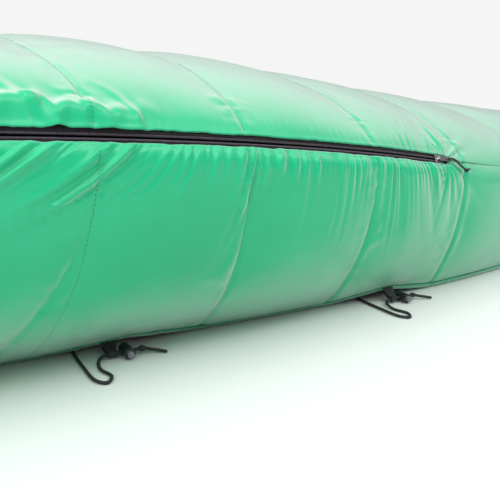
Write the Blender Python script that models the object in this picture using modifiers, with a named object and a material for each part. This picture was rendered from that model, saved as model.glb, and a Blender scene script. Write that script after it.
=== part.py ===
"""Camp quilt: a lofted bed quilt with a curved side zip, a closed footbox and two elastic pad cords.

The quilt stands on its hems as it does over a sleeper. +X points to the foot, the zip is on the -Y side,
+Z is up, and the origin is on the floor under the middle. All lengths are in metres.
"""

import math

import bmesh
import bpy
from mathutils import Matrix, Vector

# Body of the quilt: sewn-through down chambers side by side, from the neck to the foot.
CHAMBER_PITCH = 0.150
CHAMBER_COUNT = 12
SPLIT_CHAMBER_COUNT = 10
HEAD_X = -0.975
ARCH_FOOT_X = HEAD_X + CHAMBER_COUNT * CHAMBER_PITCH
SPLIT_END_X = HEAD_X + SPLIT_CHAMBER_COUNT * CHAMBER_PITCH
FOOT_X = 0.985
APEX_HEIGHT = 0.286
FOOT_DROP = 0.092
HEAD_DROP = 0.025
HEM_HALF_WIDTH = 0.248
HEM_FOOT_TAPER = 0.042
LOFT = 0.038
EDGE_LOFT = 0.006
BULGE = 0.008
SHEET = 0.001
SHEET_GAP = 0.0005
EDGE_WRAP = EDGE_LOFT + SHEET + SHEET_GAP
FILL_INSET = 0.0022
SEAM_GAP = 0.002

# Side zip: an arc in a plane that leans back with the quilt's side, so that a slider runs on one circle.
ZIP_RADIUS = 2.30
ZIP_LEAN = math.radians(30.0)
ZIP_CROWN = Vector((-0.190, -0.384, 0.2075))
ZIP_HEAD_X = -0.9735
ZIP_FOOT_X = 0.490
ZIP_UP = Vector((0.0, math.sin(ZIP_LEAN), math.cos(ZIP_LEAN)))
ZIP_OUT = Vector((0.0, -math.cos(ZIP_LEAN), math.sin(ZIP_LEAN)))
ZIP_AXIS = ZIP_CROWN - ZIP_OUT * ZIP_RADIUS
ZIP_DEPTH = 0.0030
SEAM_STRAIGHTENING = 0.45
ZIP_STEPS = 24
SHELL_ZIP_EDGE = 0.0055
CHAMBER_ZIP_EDGE = 0.0105
SHELL_SEWN_EDGE = 0.0002
CHAMBER_SEWN_EDGE = 0.0012
COIL_INNER = 0.0008
COIL_OUTER = 0.0033
COIL_HALF_THICK = 0.0010
TAPE_INNER = 0.0036
TAPE_OUTER = 0.0078
TAPE_HALF_THICK = 0.0004
TAPE_FOOT_GAP = 0.002
DRAFT_TUBE_RADIUS = 0.008
DRAFT_TUBE_DEPTH = 0.015
DRAFT_TUBE_HEAD_GAP = 0.003
DRAFT_TUBE_FOOT_GAP = 0.010
SHELL_CLOSE_START = 0.002
SHELL_CLOSE_END = 0.010
STOP_LENGTH = 0.0024
STOP_THICK = 0.0024
STOP_FOOT_OFF = 0.0004
STOP_HEAD_OFF = 0.0016

# Zip sliders and their pulls.
SLIDER_LENGTH = 0.012
SLIDER_HALF_WIDTH = 0.0045
SLIDER_PLATE = 0.0011
SLIDER_CLEARANCE = 0.0006
SLIDER_WEB_HALF = 0.0005
SLIDER_FOOT_X = 0.478
SLIDER_HEAD_X = -0.962
BAIL_LENGTH = 0.0052
BAIL_HALF_WIDTH = 0.0012
BAIL_HEIGHT = 0.0032
BAIL_SINK = 0.0002
BAIL_HOLE_RADIUS = 0.0010
PULL_LENGTH = 0.021
PULL_HALF_WIDTH = 0.0026
PULL_THICK = 0.0010
PULL_WINDOW_END_GAP = 0.0008
PULL_WINDOW_SIDE_GAP = 0.0005
PULL_HOLE_RADIUS = 0.0016
PULL_HOLE_FROM_TIP = 0.0035
PULL_CORD_RADIUS = 0.0011
PULL_KNOT_SHARE = 0.80

# Hem, neck and footbox.
BINDING_HEIGHT = 0.0065
BINDING_GAP = 0.0005
NECK_BINDING_LENGTH = 0.010
HEM_LIFT = 0.010
FOOTBOX_FLOOR_X = 0.600
FOOT_PAD_LOFT = 0.034
FOOT_PAD_INSET = 0.016
FOOT_PAD_EDGE_SHARE = 0.2
FOOT_RING_STEPS = 20
FOOT_FLOOR_STEPS = 4
FOOT_END_LOFT = 0.9 * LOFT
DOME_ANGLES = (0.0, 32.0, 62.0, 85.0)
DOME_FULLNESS = 0.6

# Pad cords: each runs from a cord lock at the near hem, under the quilt, to a loop at the far hem.
STRAP_CHAMBERS = (7, 9)
STRAP_X = (0.130, 0.450)
CORD_RADIUS = 0.0015
CORD_FLOOR_Z = 0.0017
LOCK_LINE_OFF = 0.012
LOCK_LINE_Z = 0.0053
LOCK_OFFSET_X = 0.0135
LOCK_RADIUS = 0.0050
LOCK_BACK_Y = 0.0095
LOCK_FRONT_Y = 0.0075
LOCK_WALL = 0.0012
LOCK_BORE_RADIUS = 0.0033
CORD_BORE_RADIUS = 0.0019
PLUNGER_RADIUS = 0.0030
PLUNGER_TRAVEL = 0.003
PLUNGER_BACK_Y = 0.0027
PLUNGER_FRONT_Y = 0.0115
SPRING_RADIUS = 0.0022
SPRING_WIRE = 0.0003
SPRING_LENGTH = 0.0015
SPRING_TURNS = 2
SPRING_SEAT_GAP = 0.0003
TAB_HALF_WIDTH = 0.0075
TAB_TIP_HALF_WIDTH = 0.0040
TAB_TIP_RADIUS = 0.0027
TAB_HEIGHT = 0.0040
TAB_HEM_GAP = 0.0006
TAB_ABOVE_TOE = 0.0015
TAB_BELOW_CORD = 0.0020
TAB_TIP_OVERLAP = 0.0010
FAR_CORD_END = 0.0220
LOOP_WIDTH = 0.012
LOOP_HEIGHT = 0.0040
LOOP_MIDDLE_Z = 0.0026
LOOP_CORD_GAP = 0.0004
LOOP_HEM_GAP = 0.0008
KNOT_X = 0.0275
KNOT_HALF_LENGTH = 0.0030
KNOT_SWELL = 2.0
TAIL_LENGTH = 0.0200

# Grid steps across each panel, and the share of its width over which the loft builds up from an edge.
SIDE_STEPS = 5
TOP_STEPS = 10
SIDE_EDGE_SHARE = 0.5
TOP_EDGE_SHARE = 0.25

SHELL_MINT = (0.22, 0.60, 0.42)
LINING_CHARCOAL = (0.045, 0.05, 0.055)
DOWN_WHITE = (0.86, 0.86, 0.83)
BLACK_WEBBING = (0.015, 0.016, 0.018)
COIL_GREY = (0.10, 0.09, 0.11)
METAL_GREY = (0.45, 0.46, 0.48)
PLASTIC_BLACK = (0.02, 0.02, 0.022)
PLUNGER_GREY = (0.28, 0.29, 0.30)
SPRING_STEEL = (0.60, 0.60, 0.62)
FABRIC_ROUGHNESS = 0.55
PLASTIC_ROUGHNESS = 0.40
METAL_ROUGHNESS = 0.30


def smooth_step(value, start, end):
    t = min(max((value - start) / (end - start), 0.0), 1.0)
    return t * t * (3.0 - 2.0 * t)


def apex_height(x):
    return APEX_HEIGHT - FOOT_DROP * smooth_step(x, 0.0, 0.95) - HEAD_DROP * smooth_step(-x, 0.5, 0.975)


def hem_half_width(x):
    return HEM_HALF_WIDTH - HEM_FOOT_TAPER * smooth_step(x, 0.50, 0.85)


def zip_angle(x):
    return math.asin((x - ZIP_CROWN.x) / ZIP_RADIUS)


def zip_point(x):
    """Middle of the zip at x: on its circle, then along a sewn seam that straightens towards the foot."""
    on_arc = min(x, ZIP_FOOT_X)
    sagitta = ZIP_RADIUS * (1.0 - math.cos(zip_angle(on_arc)))
    point = ZIP_CROWN - ZIP_OUT * sagitta
    beyond = x - on_arc
    slope = math.tan(zip_angle(on_arc))
    run = slope * beyond - 0.5 * SEAM_STRAIGHTENING * beyond * beyond
    return Vector((x, point.y + run * math.cos(ZIP_LEAN), point.z - run * math.sin(ZIP_LEAN)))


class Section:
    """The quilt's outline across its length at one x, from the near hem over the top to the far hem.

    The angle runs from -hem_angle at the near hem, past 0 at the widest place, to pi + hem_angle.
    """

    def __init__(self, x):
        self.x = x
        seam = zip_point(x) + ZIP_OUT * ZIP_DEPTH
        above = apex_height(x) - seam.z
        lean = math.tan(ZIP_LEAN)
        above_widest = lean * above * above / (abs(seam.y) - 2.0 * lean * above)
        self.belly = seam.z - above_widest
        self.rise = apex_height(x) - self.belly
        self.seam_angle = math.asin(above_widest / self.rise)
        self.half_width = abs(seam.y) / math.cos(self.seam_angle)
        self.hem_angle = math.acos(hem_half_width(x) / self.half_width)

    def lower_scale(self, angle):
        upper = 0.0 <= angle <= math.pi
        return self.rise if upper else self.belly / math.sin(self.hem_angle)

    def point(self, angle):
        height = self.belly + self.lower_scale(angle) * math.sin(angle)
        return Vector((self.x, -self.half_width * math.cos(angle), height))

    def out(self, angle):
        """Unit vector out of the quilt, square to the outline."""
        scale = self.lower_scale(angle)
        return Vector((0.0, -scale * math.cos(angle), self.half_width * math.sin(angle))).normalized()

    def inward(self, angle):
        """Unit vector towards the sleeper; it stays level below the widest place, so hems end flush."""
        down = -math.sin(angle) if 0.0 <= angle <= math.pi else 0.0
        return Vector((0.0, math.cos(angle), down))

    def speed(self):
        """Metres of outline per radian at the zip."""
        return math.hypot(self.half_width * math.sin(self.seam_angle), self.rise * math.cos(self.seam_angle))

    def near_hem(self, height):
        return -math.asin(math.sin(self.hem_angle) * (1.0 - height / self.belly))

    def far_hem(self, height):
        return math.pi - self.near_hem(height)


def chamber_middle(index):
    return HEAD_X + (index + 0.5) * CHAMBER_PITCH


def hem_lift(x):
    """The near hem is drawn up a little over each pad cord."""
    nearest = min(abs(x - chamber_middle(index)) for index in STRAP_CHAMBERS)
    return HEM_LIFT * max(0.0, 1.0 - nearest / (0.5 * CHAMBER_PITCH))


def ridge(x):
    """0 at a cross seam and 1 in the middle of a chamber."""
    along = ((x - HEAD_X) / CHAMBER_PITCH) % 1.0
    return 1.0 - abs(2.0 * along - 1.0)


def fullness(fraction, edge_share):
    """0 at both edges of a panel, 1 away from them."""
    nearest = min(fraction, 1.0 - fraction) / edge_share
    return math.sin(0.5 * math.pi * min(1.0, max(0.0, nearest)))


def angles_between(start, end, steps):
    return [start + (end - start) * i / steps for i in range(steps + 1)]


def shell_edge(x):
    """Half the gap between the shell panels: open over the zip, sewn past its foot end."""
    return SHELL_ZIP_EDGE if x <= ZIP_FOOT_X + SHELL_CLOSE_START else SHELL_SEWN_EDGE


def chamber_edge(x):
    """Half the gap between the chambers either side of the zip, and between the linings over them."""
    return CHAMBER_ZIP_EDGE if x < SPLIT_END_X else CHAMBER_SEWN_EDGE


def side_angles(section):
    """Stations of the panel below the zip."""
    start = section.near_hem(BINDING_HEIGHT + BINDING_GAP + hem_lift(section.x))
    stop = section.seam_angle - chamber_edge(section.x) / section.speed()
    return angles_between(start, stop, SIDE_STEPS)


def top_angles(section):
    """Stations of the panel from the zip over the top to the far hem."""
    start = section.seam_angle + chamber_edge(section.x) / section.speed()
    return angles_between(start, section.far_hem(BINDING_HEIGHT + BINDING_GAP), TOP_STEPS)


def layer_row(section, angles, edge_share, layer):
    """Points of one surface across the quilt: 'shell', 'fill_out' or 'fill_in'."""
    row = []
    for i, angle in enumerate(angles):
        full = fullness(i / (len(angles) - 1), edge_share) * ridge(section.x)
        depth = EDGE_LOFT + (LOFT - EDGE_LOFT) * full
        point = section.point(angle)
        if layer == "shell":
            point += section.out(angle) * BULGE * full
        elif layer == "fill_out":
            point += section.out(angle) * (BULGE * full - FILL_INSET)
        else:
            point += section.inward(angle) * depth
        row.append(point)
    return row


def side_row(section, surface):
    return layer_row(section, side_angles(section), SIDE_EDGE_SHARE, surface)


def top_row(section, surface):
    return layer_row(section, top_angles(section), TOP_EDGE_SHARE, surface)


def foot_row(section, surface):
    """Both panels' stations as one: a footbox arch runs on under the sewn seam."""
    return side_row(section, surface) + top_row(section, surface)


def shell_side_row(section):
    """The shell reaches past the chambers, onto the zip tape."""
    lip = section.point(section.seam_angle - shell_edge(section.x) / section.speed())
    return side_row(section, "shell") + [lip]


def shell_top_row(section):
    lip = section.point(section.seam_angle + shell_edge(section.x) / section.speed())
    return [lip] + top_row(section, "shell")


def clear_scene():
    for old in list(bpy.data.objects):
        bpy.data.objects.remove(old, do_unlink=True)


def make_collection(name, visible):
    collection = bpy.data.collections.new(name)
    bpy.context.scene.collection.children.link(collection)
    collection.hide_render = not visible
    return collection


def make_material(name, colour, roughness, metallic):
    material = bpy.data.materials.new(name)
    material.use_nodes = True
    shader = material.node_tree.nodes["Principled BSDF"]
    shader.inputs["Base Color"].default_value = (*colour, 1.0)
    shader.inputs["Roughness"].default_value = roughness
    shader.inputs["Metallic"].default_value = metallic
    return material


def finish_object(obj, colour, roughness, metallic=0.0, parent=None):
    """Gives an object its own material and its place in the quilt's collection."""
    obj.data.materials.clear()
    obj.data.materials.append(make_material(obj.name, colour, roughness, metallic))
    if parent is not None:
        bpy.context.view_layer.update()
        obj.parent = parent
        obj.matrix_parent_inverse = parent.matrix_world.inverted()
    return obj


def new_object(name, data, collection):
    obj = bpy.data.objects.new(name, data)
    collection.objects.link(obj)
    return obj


def mesh_from(name, vertices, faces):
    mesh = bpy.data.meshes.new(name)
    mesh.from_pydata([tuple(v) for v in vertices], [], faces)
    mesh.validate()
    mesh.update()
    return mesh


def grid_triangles(rows, columns, first=0, flipped=False, wrap=False):
    """Two triangles a cell, always split on the same diagonal, so that nested layers stay parallel."""
    triangles = []
    for i in range(rows - 1):
        for j in range(columns if wrap else columns - 1):
            a = first + i * columns + j
            b = first + i * columns + (j + 1) % columns
            c, d = a + columns, b + columns
            triangles += [(a, b, d), (a, d, c)] if flipped else [(a, d, b), (a, c, d)]
    return triangles


def rim_triangles(outer_loop, inner_loop):
    """Closes the edge between two matching loops of vertices."""
    triangles = []
    count = len(outer_loop)
    for i in range(count):
        a, b = outer_loop[i], outer_loop[(i + 1) % count]
        c, d = inner_loop[i], inner_loop[(i + 1) % count]
        triangles += [(a, b, d), (a, d, c)]
    return triangles


def border(rows, columns, first):
    """Vertices round a grid's edge, in order."""
    last = (rows - 1) * columns
    loop = [first + j for j in range(columns)]
    loop += [first + i * columns + columns - 1 for i in range(1, rows)]
    loop += [first + last + j for j in range(columns - 2, -1, -1)]
    loop += [first + i * columns for i in range(rows - 2, 0, -1)]
    return loop


def closed_loft(name, outer_rows, inner_rows):
    """A closed body between an outer and an inner grid of points."""
    rows, columns = len(outer_rows), len(outer_rows[0])
    vertices = [p for row in outer_rows + inner_rows for p in row]
    count = rows * columns
    faces = grid_triangles(rows, columns)
    faces += grid_triangles(rows, columns, first=count, flipped=True)
    faces += rim_triangles(border(rows, columns, 0), border(rows, columns, count))
    return mesh_from(name, vertices, faces)


def cloth_sheet(name, rows, quilt, colour, towards_sleeper=False, wrap=False, cap=False):
    """One layer of cloth: a shell thickens down from its surface, a lining stands just off the down's."""
    columns = len(rows[0])
    vertices = [p for row in rows for p in row]
    faces = grid_triangles(len(rows), columns, flipped=towards_sleeper, wrap=wrap)
    if cap:
        tip = list(range(len(vertices) - columns, len(vertices)))
        faces.append(tip if towards_sleeper else tip[::-1])
    obj = new_object(name, mesh_from(name, vertices, faces), quilt)
    thicken = obj.modifiers.new("Cloth", "SOLIDIFY")
    thicken.thickness = SHEET
    thicken.offset = 1.0 + 2.0 * SHEET_GAP / SHEET if towards_sleeper else -1.0
    return finish_object(obj, colour, FABRIC_ROUGHNESS)


def closing_stations():
    """Where the shell panels come together just past the zip."""
    return ZIP_FOOT_X + SHELL_CLOSE_START, ZIP_FOOT_X + SHELL_CLOSE_END


def chamber_stations(index):
    """Both ends and the middle of a chamber, with two more where the shell closes past the zip."""
    start = HEAD_X + index * CHAMBER_PITCH + 0.5 * SEAM_GAP
    end = start + CHAMBER_PITCH - SEAM_GAP
    start += SEAM_GAP if index == 0 else 0.0
    end -= SEAM_GAP if index == CHAMBER_COUNT - 1 else 0.0
    closing = [x for x in closing_stations() if start < x < end]
    return [start, chamber_middle(index), *closing, end]


def sheet_stations():
    """The chambers' own stations, so that the cloth lies flat on the down."""
    return [x for index in range(CHAMBER_COUNT) for x in chamber_stations(index)]


def build_cloth(quilt):
    sections = [Section(x) for x in sheet_stations()]
    for panel, shell_row, row_at in (("side", shell_side_row, side_row), ("top", shell_top_row, top_row)):
        cloth_sheet(f"shell_{panel}", [shell_row(section) for section in sections], quilt, SHELL_MINT)
        lining = [row_at(section, "fill_in") for section in sections]
        cloth_sheet(f"lining_{panel}", lining, quilt, LINING_CHARCOAL, towards_sleeper=True)


def build_chambers(quilt):
    """Down chambers: split by the zip from the neck to the knees, whole arches round the feet."""
    for index in range(CHAMBER_COUNT):
        split = index < SPLIT_CHAMBER_COUNT
        kinds = (("side", side_row), ("top", top_row)) if split else (("foot", foot_row),)
        sections = [Section(x) for x in chamber_stations(index)]
        for kind, row_at in kinds:
            name = f"down_{kind}_{index + 1:02d}"
            outer, inner = ([row_at(section, surface) for section in sections]
                            for surface in ("fill_out", "fill_in"))
            chamber = new_object(name, closed_loft(name, outer, inner), quilt)
            finish_object(chamber, DOWN_WHITE, FABRIC_ROUGHNESS)


def foot_ring():
    """The quilt's closed outline at the foot: over the top from hem to hem, then back along the floor."""
    section = Section(ARCH_FOOT_X)
    arch_steps = FOOT_RING_STEPS - FOOT_FLOOR_STEPS
    angles = angles_between(-section.hem_angle, math.pi + section.hem_angle, arch_steps)
    ring = [section.point(a) for a in angles]
    half = hem_half_width(ARCH_FOOT_X)
    for i in range(1, FOOT_FLOOR_STEPS):
        ring.append(Vector((section.x, half - 2.0 * half * i / FOOT_FLOOR_STEPS, 0.0)))
    return ring


def dome_rows(depth):
    """Rings of the rounded foot end, each sunk by depth below its outside."""
    ring = foot_ring()
    half_height = 0.5 * apex_height(ARCH_FOOT_X)
    half_width = Section(ARCH_FOOT_X).half_width
    centre = Vector((0.0, 0.0, half_height))
    start_x = ARCH_FOOT_X + SHEET_GAP
    dome_length = (FOOT_X - start_x) / math.sin(math.radians(DOME_ANGLES[-1]))
    rows = []
    for degrees in DOME_ANGLES:
        turn = math.radians(degrees)
        scale = math.cos(turn) ** DOME_FULLNESS
        x = start_x + (dome_length - depth) * math.sin(turn)
        row = []
        for point in ring:
            spoke = Vector((0.0, point.y, point.z)) - centre
            outward = Vector((0.0, spoke.y / half_width, spoke.z / half_height)).normalized()
            spot = centre + spoke * scale - outward * depth * math.cos(turn)
            row.append(Vector((x, spot.y, spot.z)))
        rows.append(row)
    return rows


def build_foot_end(quilt):
    """The rounded end of the footbox: shell, a cup of down, and lining."""
    cloth_sheet("shell_foot_end", dome_rows(0.0), quilt, SHELL_MINT, wrap=True, cap=True)
    outer = dome_rows(FILL_INSET)
    inner = dome_rows(FOOT_END_LOFT)
    columns = len(outer[0])
    rows = len(outer)
    vertices = [p for row in outer + inner for p in row]
    count = rows * columns
    faces = grid_triangles(rows, columns, wrap=True)
    faces += grid_triangles(rows, columns, first=count, flipped=True, wrap=True)
    faces += rim_triangles(list(range(columns)), list(range(count, count + columns)))
    faces.append(list(range(count - 1, count - columns - 1, -1)))
    faces.append(list(range(2 * count - columns, 2 * count)))
    cup = new_object("down_foot_end", mesh_from("down_foot_end", vertices, faces), quilt)
    finish_object(cup, DOWN_WHITE, FABRIC_ROUGHNESS)
    cloth_sheet("lining_foot_end", inner, quilt, LINING_CHARCOAL, towards_sleeper=True, wrap=True, cap=True)


def floor_rows(height_at, inset):
    """A grid over the footbox floor; height_at takes the share of full loft."""
    start, end = FOOTBOX_FLOOR_X, ARCH_FOOT_X - SEAM_GAP
    lengthwise, across = 3, 6
    rows = []
    for i in range(lengthwise + 1):
        x = start + (end - start) * i / lengthwise
        half = hem_half_width(x) - inset
        row = []
        for j in range(across + 1):
            share = math.sin(math.pi * i / lengthwise) * math.sin(math.pi * j / across)
            row.append(Vector((x, -half + 2.0 * half * j / across, height_at(share))))
        rows.append(row)
    return rows


def build_footbox_floor(quilt):
    """The panel under the feet: a flat shell on the floor, a pad of down, and lining."""
    shell_top = SHEET_GAP + SHEET

    def pad_top(share):
        full = FOOT_PAD_EDGE_SHARE + (1.0 - FOOT_PAD_EDGE_SHARE) * share
        return shell_top + SHEET_GAP + FOOT_PAD_LOFT * full

    shell = floor_rows(lambda share: shell_top, FOOT_PAD_INSET)
    cloth_sheet("shell_footbox_floor", shell, quilt, SHELL_MINT)
    upper = floor_rows(pad_top, FOOT_PAD_INSET)
    lower = floor_rows(lambda share: shell_top + SHEET_GAP, FOOT_PAD_INSET)
    mesh = closed_loft("down_footbox_floor", upper, lower)
    finish_object(new_object("down_footbox_floor", mesh, quilt), DOWN_WHITE, FABRIC_ROUGHNESS)
    lining = floor_rows(lambda share: pad_top(share) + SHEET_GAP + SHEET, FOOT_PAD_INSET)
    cloth_sheet("lining_footbox_floor", lining, quilt, LINING_CHARCOAL)


def strip_along(name, section_at, stations):
    """A closed bar whose corners at each station come from section_at, listed the same way round."""
    vertices = []
    for x in stations:
        vertices += section_at(x)
    corners = len(section_at(stations[0]))
    faces = grid_triangles(len(stations), corners, wrap=True)
    faces.append(list(range(corners)))
    faces.append(list(range(len(vertices) - 1, len(vertices) - corners - 1, -1)))
    mesh = mesh_from(name, vertices, faces)
    turn_outwards(mesh)
    return mesh


def turn_outwards(mesh):
    work = bmesh.new()
    work.from_mesh(mesh)
    bmesh.ops.recalc_face_normals(work, faces=work.faces)
    work.to_mesh(mesh)
    work.free()


def build_bindings(quilt):
    """Folded tape over the raw edges at both hems and round the neck."""
    stations = [HEAD_X + SEAM_GAP] + [HEAD_X + 0.5 * CHAMBER_PITCH * i for i in range(1, 2 * CHAMBER_COUNT)]
    stations.append(ARCH_FOOT_X - SEAM_GAP)

    def near_corners(x):
        section = Section(x)
        lift = hem_lift(x)
        top = section.point(section.near_hem(BINDING_HEIGHT + lift))
        toe = section.point(section.near_hem(lift))
        inner = Vector((0.0, EDGE_WRAP, 0.0))
        return [toe, top, top + inner, toe + inner]

    def far_corners(x):
        section = Section(x)
        top = section.point(section.far_hem(BINDING_HEIGHT))
        toe = section.point(section.far_hem(0.0))
        inner = Vector((0.0, -EDGE_WRAP, 0.0))
        return [toe, toe + inner, top + inner, top]

    for name, corners in (("hem_binding_near", near_corners), ("hem_binding_far", far_corners)):
        obj = new_object(name, strip_along(name, corners, stations), quilt)
        finish_object(obj, SHELL_MINT, FABRIC_ROUGHNESS)

    neck = Section(HEAD_X)
    panels = (("side", side_angles(neck)), ("top", top_angles(neck)))
    for panel, angles in panels:
        corners_by_angle = {}
        for angle in angles:
            outer = neck.point(angle)
            inner = outer + neck.inward(angle) * EDGE_WRAP
            back = Vector((-NECK_BINDING_LENGTH, 0.0, 0.0))
            corners_by_angle[angle] = [outer, outer + back, inner + back, inner]
        name = f"neck_binding_{panel}"
        mesh = strip_along(name, corners_by_angle.__getitem__, angles)
        finish_object(new_object(name, mesh, quilt), SHELL_MINT, FABRIC_ROUGHNESS)


def zip_stations():
    length = ZIP_FOOT_X - TAPE_FOOT_GAP - ZIP_HEAD_X
    return [ZIP_HEAD_X + length * i / ZIP_STEPS for i in range(ZIP_STEPS + 1)]


def zip_strip(name, near, far, half_thick):
    """A flat bar along the zip, from near to far across it and half_thick each way off its middle."""

    def corners(x):
        out = zip_frame(x).to_3x3() @ Vector((0.0, 0.0, 1.0))
        middle = zip_point(x)
        spots = ((near, -half_thick), (near, half_thick), (far, half_thick), (far, -half_thick))
        return [middle + ZIP_UP * across + out * off for across, off in spots]

    return strip_along(name, corners, zip_stations())


def zip_frame(x):
    """Local axes on the zip: X along it towards the foot, Y across it upwards, Z out of the quilt."""
    turn = zip_angle(x)
    along = Vector((math.cos(turn), 0.0, 0.0)) - ZIP_OUT * math.sin(turn)
    out = ZIP_OUT * math.cos(turn) + Vector((math.sin(turn), 0.0, 0.0))
    frame = Matrix((along, ZIP_UP, out)).transposed().to_4x4()
    frame.translation = zip_point(x)
    return frame


def box(name, size, centre, collection):
    bpy.ops.mesh.primitive_cube_add(size=1.0)
    obj = bpy.context.active_object
    obj.name = name
    obj.data.transform(Matrix.Translation(centre) @ Matrix.Diagonal((*size, 1.0)))
    move_to(obj, collection)
    return obj


def cylinder(name, radius, length, axis, centre, collection, sides=16):
    """A cylinder along axis, one of X, Y or Z, about centre."""
    bpy.ops.mesh.primitive_cylinder_add(radius=radius, depth=length, vertices=sides)
    obj = bpy.context.active_object
    obj.name = name
    turn = Vector((0.0, 0.0, 1.0)).rotation_difference(axis).to_matrix().to_4x4()
    obj.data.transform(Matrix.Translation(centre) @ turn)
    move_to(obj, collection)
    return obj


def move_to(obj, collection):
    for old in list(obj.users_collection):
        old.objects.unlink(obj)
    collection.objects.link(obj)


def combine(obj, other, operation):
    other.hide_render = True
    other.display_type = "WIRE"
    change = obj.modifiers.new(operation.title(), "BOOLEAN")
    change.operation = operation
    change.object = other


def soften_edges(obj):
    obj.data.shade_smooth()
    obj.data.set_sharp_from_angle(angle=math.radians(35.0))


def build_zip(quilt):
    """Tapes, coils, end stops and the draft tube behind the zip."""
    for side, sign in (("upper", 1.0), ("lower", -1.0)):
        tape = zip_strip(f"zip_tape_{side}", sign * TAPE_INNER, sign * TAPE_OUTER, TAPE_HALF_THICK)
        finish_object(new_object(f"zip_tape_{side}", tape, quilt), BLACK_WEBBING, FABRIC_ROUGHNESS)
        coil = zip_strip(f"zip_coil_{side}", sign * COIL_INNER, sign * COIL_OUTER, COIL_HALF_THICK)
        finish_object(new_object(f"zip_coil_{side}", coil, quilt), COIL_GREY, PLASTIC_ROUGHNESS)

    stop_size = (STOP_LENGTH, 2.0 * COIL_OUTER, STOP_THICK)
    for end, x in (("foot", ZIP_FOOT_X - STOP_FOOT_OFF), ("head", ZIP_HEAD_X - STOP_HEAD_OFF)):
        stop = box(f"zip_stop_{end}", stop_size, (0.0, 0.0, 0.0), quilt)
        stop.matrix_world = zip_frame(x)
        finish_object(stop, METAL_GREY, METAL_ROUGHNESS, metallic=1.0)

    tube_span = (ZIP_HEAD_X + DRAFT_TUBE_HEAD_GAP, ZIP_FOOT_X - DRAFT_TUBE_FOOT_GAP)
    points = []
    for i in range(ZIP_STEPS + 1):
        x = tube_span[0] + (tube_span[1] - tube_span[0]) * i / ZIP_STEPS
        points.append(zip_point(x) - ZIP_OUT * DRAFT_TUBE_DEPTH)
    tube = poly_tube("draft_tube", points, DRAFT_TUBE_RADIUS, quilt)
    finish_object(tube, LINING_CHARCOAL, FABRIC_ROUGHNESS)


def poly_tube(name, points, radius, collection, swell=None):
    """A round cord through points; swell maps a point's index to a share of the radius."""
    curve = bpy.data.curves.new(name, "CURVE")
    curve.dimensions = "3D"
    curve.bevel_depth = radius
    curve.bevel_resolution = 2
    curve.use_fill_caps = True
    spline = curve.splines.new("POLY")
    spline.points.add(len(points) - 1)
    for i, point in enumerate(points):
        spline.points[i].co = (*point, 1.0)
        if swell and i in swell:
            spline.points[i].radius = swell[i]
    return new_object(name, curve, collection)


def smooth_route(anchors, spacing):
    """Evenly spaced points on a Catmull-Rom curve through hand-chosen anchors."""
    ends = [2 * anchors[0] - anchors[1]] + anchors + [2 * anchors[-1] - anchors[-2]]
    fine = []
    for a, b, c, d in zip(ends, ends[1:], ends[2:], ends[3:]):
        for i in range(24):
            t = i / 24
            fine.append(0.5 * (2 * b + (c - a) * t + (2 * a - 5 * b + 4 * c - d) * t * t
                               + (3 * b - a - 3 * c + d) * t ** 3))
    fine.append(anchors[-1])
    lengths = [0.0]
    for a, b in zip(fine, fine[1:]):
        lengths.append(lengths[-1] + (b - a).length)
    count = max(2, round(lengths[-1] / spacing))
    route, j = [], 0
    for i in range(count + 1):
        wanted = lengths[-1] * i / count
        while j < len(lengths) - 2 and lengths[j + 1] < wanted:
            j += 1
        share = (wanted - lengths[j]) / (lengths[j + 1] - lengths[j])
        route.append(fine[j].lerp(fine[j + 1], min(1.0, share)))
    return route


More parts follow.
